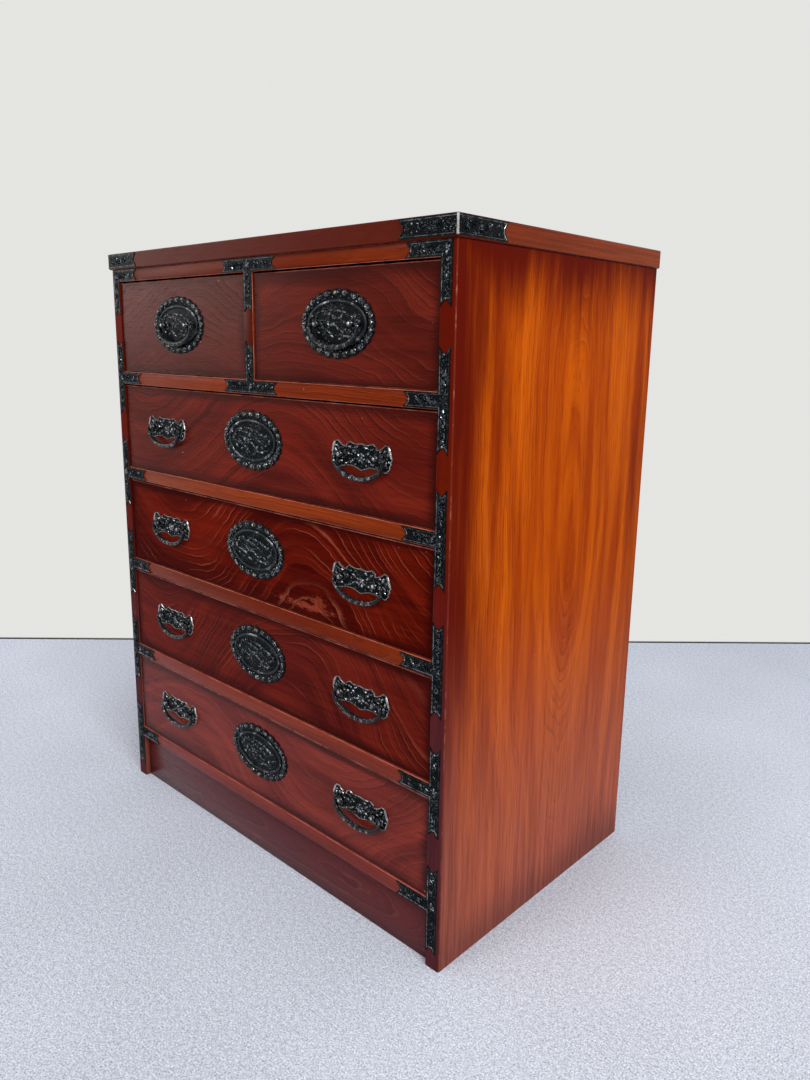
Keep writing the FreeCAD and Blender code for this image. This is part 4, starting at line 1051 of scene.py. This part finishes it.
def wing_relief():
    """Flower, leaves and seeds that stand on a handle plate."""
    mesh = bmesh.new()
    for petal in range(7):
        degrees = 90 + petal * 360 / 7
        turn = math.radians(degrees)
        bead(mesh, 5.2 * math.cos(turn), -3 + 4.6 * math.sin(turn), *PETAL, degrees, 1.2)
    bead(mesh, 0, -3, *FLOWER_EYE, 0, 1.2)
    for sign in (-1, 1):
        for x, z, wide, tall, turn in WING_LEAVES:
            bead(mesh, sign * x, z, wide, tall, LEAF_RISE, sign * turn, 1.2)
        for x, z in WING_SEEDS:
            bead(mesh, sign * x, z, *WING_SEED, 0, 1.2, 8)
    return mesh


def wing_ends():
    """The bright slanted bars at a handle plate's two ends."""
    mesh = bmesh.new()
    for sign in (-1, 1):
        drawn_bar(mesh, [(sign * x, *rest) for x, *rest in WING_END])
    return mesh


WING_RELIEF = wing_relief()
WING_ENDS = wing_ends()
joints = {joint["name"]: joint for joint in frame["joints"]}
for drawer in DRAWERS[2:]:
    node = drawer + "_plates"
    body = drawer + "_drawer"
    for side, sign in (("left", -1), ("right", 1)):
        middle = Vector(joints["%s_%s_handle_swing" % (drawer, side)]["pos_m"])
        middle.y = face_front
        name = "%s_wing_%s" % (drawer, side)
        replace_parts(wing_plate(node, name, body, sign), node)
        struck(WING_RELIEF, name + "_relief", body, middle, RELIEF)
        struck(WING_ENDS, name + "_ends", body, middle, BRIGHT)

# ------------------------------ handle posts
# Two ball-headed cotters carry each bail. Ball, collar and neck are turned; the square shank runs
# through the front and its two legs are bent open against the wood inside.
POST_IRON = smooth_iron("post_iron", (0.050, 0.052, 0.056), (0.45, 0.45, 0.46), 0.60, 0.80, 0.14, 90,
                        shine=0.5, metal=1.0)
SHANK_IRON = smooth_iron("shank_iron", (0.02, 0.018, 0.016), (0.10, 0.08, 0.06), 0.4, 0.7, 0.6)
BALL = 0.0049
PAINTED_HIGHLIGHT_CAP = 0.8 * BALL
PLATE = 0.0012
SHANK_TOP = 0.002
HALF_POSTS = 31.5 * MM
FACING = Matrix.Rotation(math.pi / 2, 4, "X")
# Radius, back and front of the turned discs that stand on the plate.
COLLARS = ((0.0058, 0.0, 0.0010), (0.0042, 0.0010, 0.0021), (0.0030, 0.0021, 0.0040))
plate_face = face_front - PLATE
hinges = [joint for joint in joints.values() if joint["type"] == "hinge"]
for drawer in DRAWERS:
    body = drawer + "_drawer"
    node = drawer + "_posts"
    mesh = lifted(node)
    bmesh.ops.bisect_plane(mesh, geom=mesh.verts[:] + mesh.edges[:] + mesh.faces[:], dist=1e-6,
                           plane_co=(0, plate_face - SHANK_TOP, 0), plane_no=(0, -1, 0), clear_outer=True)
    bmesh.ops.holes_fill(mesh, edges=[edge for edge in mesh.edges if edge.is_boundary], sides=0)
    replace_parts(placed(mesh, drawer + "_shanks", body, "iron", SHANK_IRON), node)
    mesh = bmesh.new()
    for joint in [joint for joint in hinges if joint["parent"] == body]:
        for side in (-1, 1):
            x, y, z = joint["pos_m"]
            x += side * HALF_POSTS
            bmesh.ops.create_uvsphere(mesh, u_segments=20, v_segments=14, radius=BALL,
                                      matrix=Matrix.Translation((x, y, z)) @ FACING)
            # Painted highlight: the ball's front cap takes the bright iron, for the glint the ball catches.
            mesh.normal_update()
            for face in mesh.faces:
                if face.normal.y < -0.9 and face.calc_center_median().y < y - PAINTED_HIGHLIGHT_CAP:
                    face.material_index = 1
            for radius, back, front in COLLARS:
                at = Matrix.Translation((x, plate_face - (front + back) / 2, z))
                bmesh.ops.create_cone(mesh, cap_ends=True, segments=20, radius1=radius, radius2=radius * 0.86,
                                      depth=front - back, matrix=at @ FACING)
    placed(mesh, drawer + "_post_balls", body, "iron", POST_IRON, BRIGHT)

# ------------------------------ bails
# A bail is forged from one rod: a crescent, thickest at the bottom and struck there with five small
# rings, with its ends turned in as pins that swing in the posts.
BAIL_IRON = smooth_iron("bail_iron", (0.006, 0.008, 0.009), (0.40, 0.42, 0.44), 0.56, 0.76, 0.20, 240,
                        shine=0.25, metal=0.2)
HALF_SPAN, DROP, SHOULDER = 43.8, 23.5, 4.5
PIN_END = 25.8
# Half widths of the pin, the shoulder and the crescent's middle, and the rod's half depth.
PIN, END, BELLY, DEPTH = 1.65, 2.2, 3.7, 2.9
MARK = 1.6


def bail():
    """The bail about its hinge line, hanging down."""
    inner = HALF_SPAN - SHOULDER
    stations = [(PIN_END, 0, 0, PIN * 0.8, PIN * 0.8), (PIN_END + 0.6, 0, 0, PIN, PIN),
                (inner - 1.6, 0, 0, PIN, PIN), (inner, 0, 0, END, 2.7)]
    for degrees in (22.5, 45, 67.5, 90):
        swing = math.radians(degrees)
        stations.append((inner + SHOULDER * math.sin(swing), 0, SHOULDER * (math.cos(swing) - 1), END, DEPTH))
    for step in range(1, 15):
        swing = math.pi / 2 * step / 14
        swell = math.sin(swing)
        stations.append((HALF_SPAN * math.cos(swing), 0, -SHOULDER - DROP * swell,
                         END + (BELLY - END) * swell, DEPTH + 0.2 * swell))
    mirrored_half = [(-x, *rest) for x, *rest in reversed(stations[:-1])]
    mesh = bmesh.new()
    drawn_bar(mesh, stations + mirrored_half, 14)
    bmesh.ops.recalc_face_normals(mesh, faces=mesh.faces)
    return mesh


def bail_marks():
    """Five small rings with a dot, struck on the front of the bail's crescent."""
    mesh = bmesh.new()
    for x in (-22, -11, 0, 11, 22):
        z = -SHOULDER - DROP * math.sin(math.acos(x / HALF_SPAN))
        ring = []
        for step in range(11):
            turn = math.radians(step * 36)
            ring.append((x + MARK * math.cos(turn), -3.0, z + MARK * math.sin(turn), 0.4, 0.5))
        drawn_bar(mesh, ring, 4)
        bead(mesh, x, z, 0.6, 0.6, 0.6, base=3.0, segments=6)
    bmesh.ops.recalc_face_normals(mesh, faces=mesh.faces)
    return mesh


BAIL = bail()
BAIL_MARKS = bail_marks()
for joint in hinges:
    body = joint["child"]
    node = frame["record"]["behaviour"]["bodies"][body][0]
    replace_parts(struck(BAIL, node + "_forged", body, joint["pos_m"], BAIL_IRON), node)
    struck(BAIL_MARKS, node + "_marks", body, joint["pos_m"], WING_RIM)

for master in (OVAL, OVAL_RELIEF, OVAL_NAILS, WING_RELIEF, WING_ENDS, BAIL, BAIL_MARKS):
    master.free()
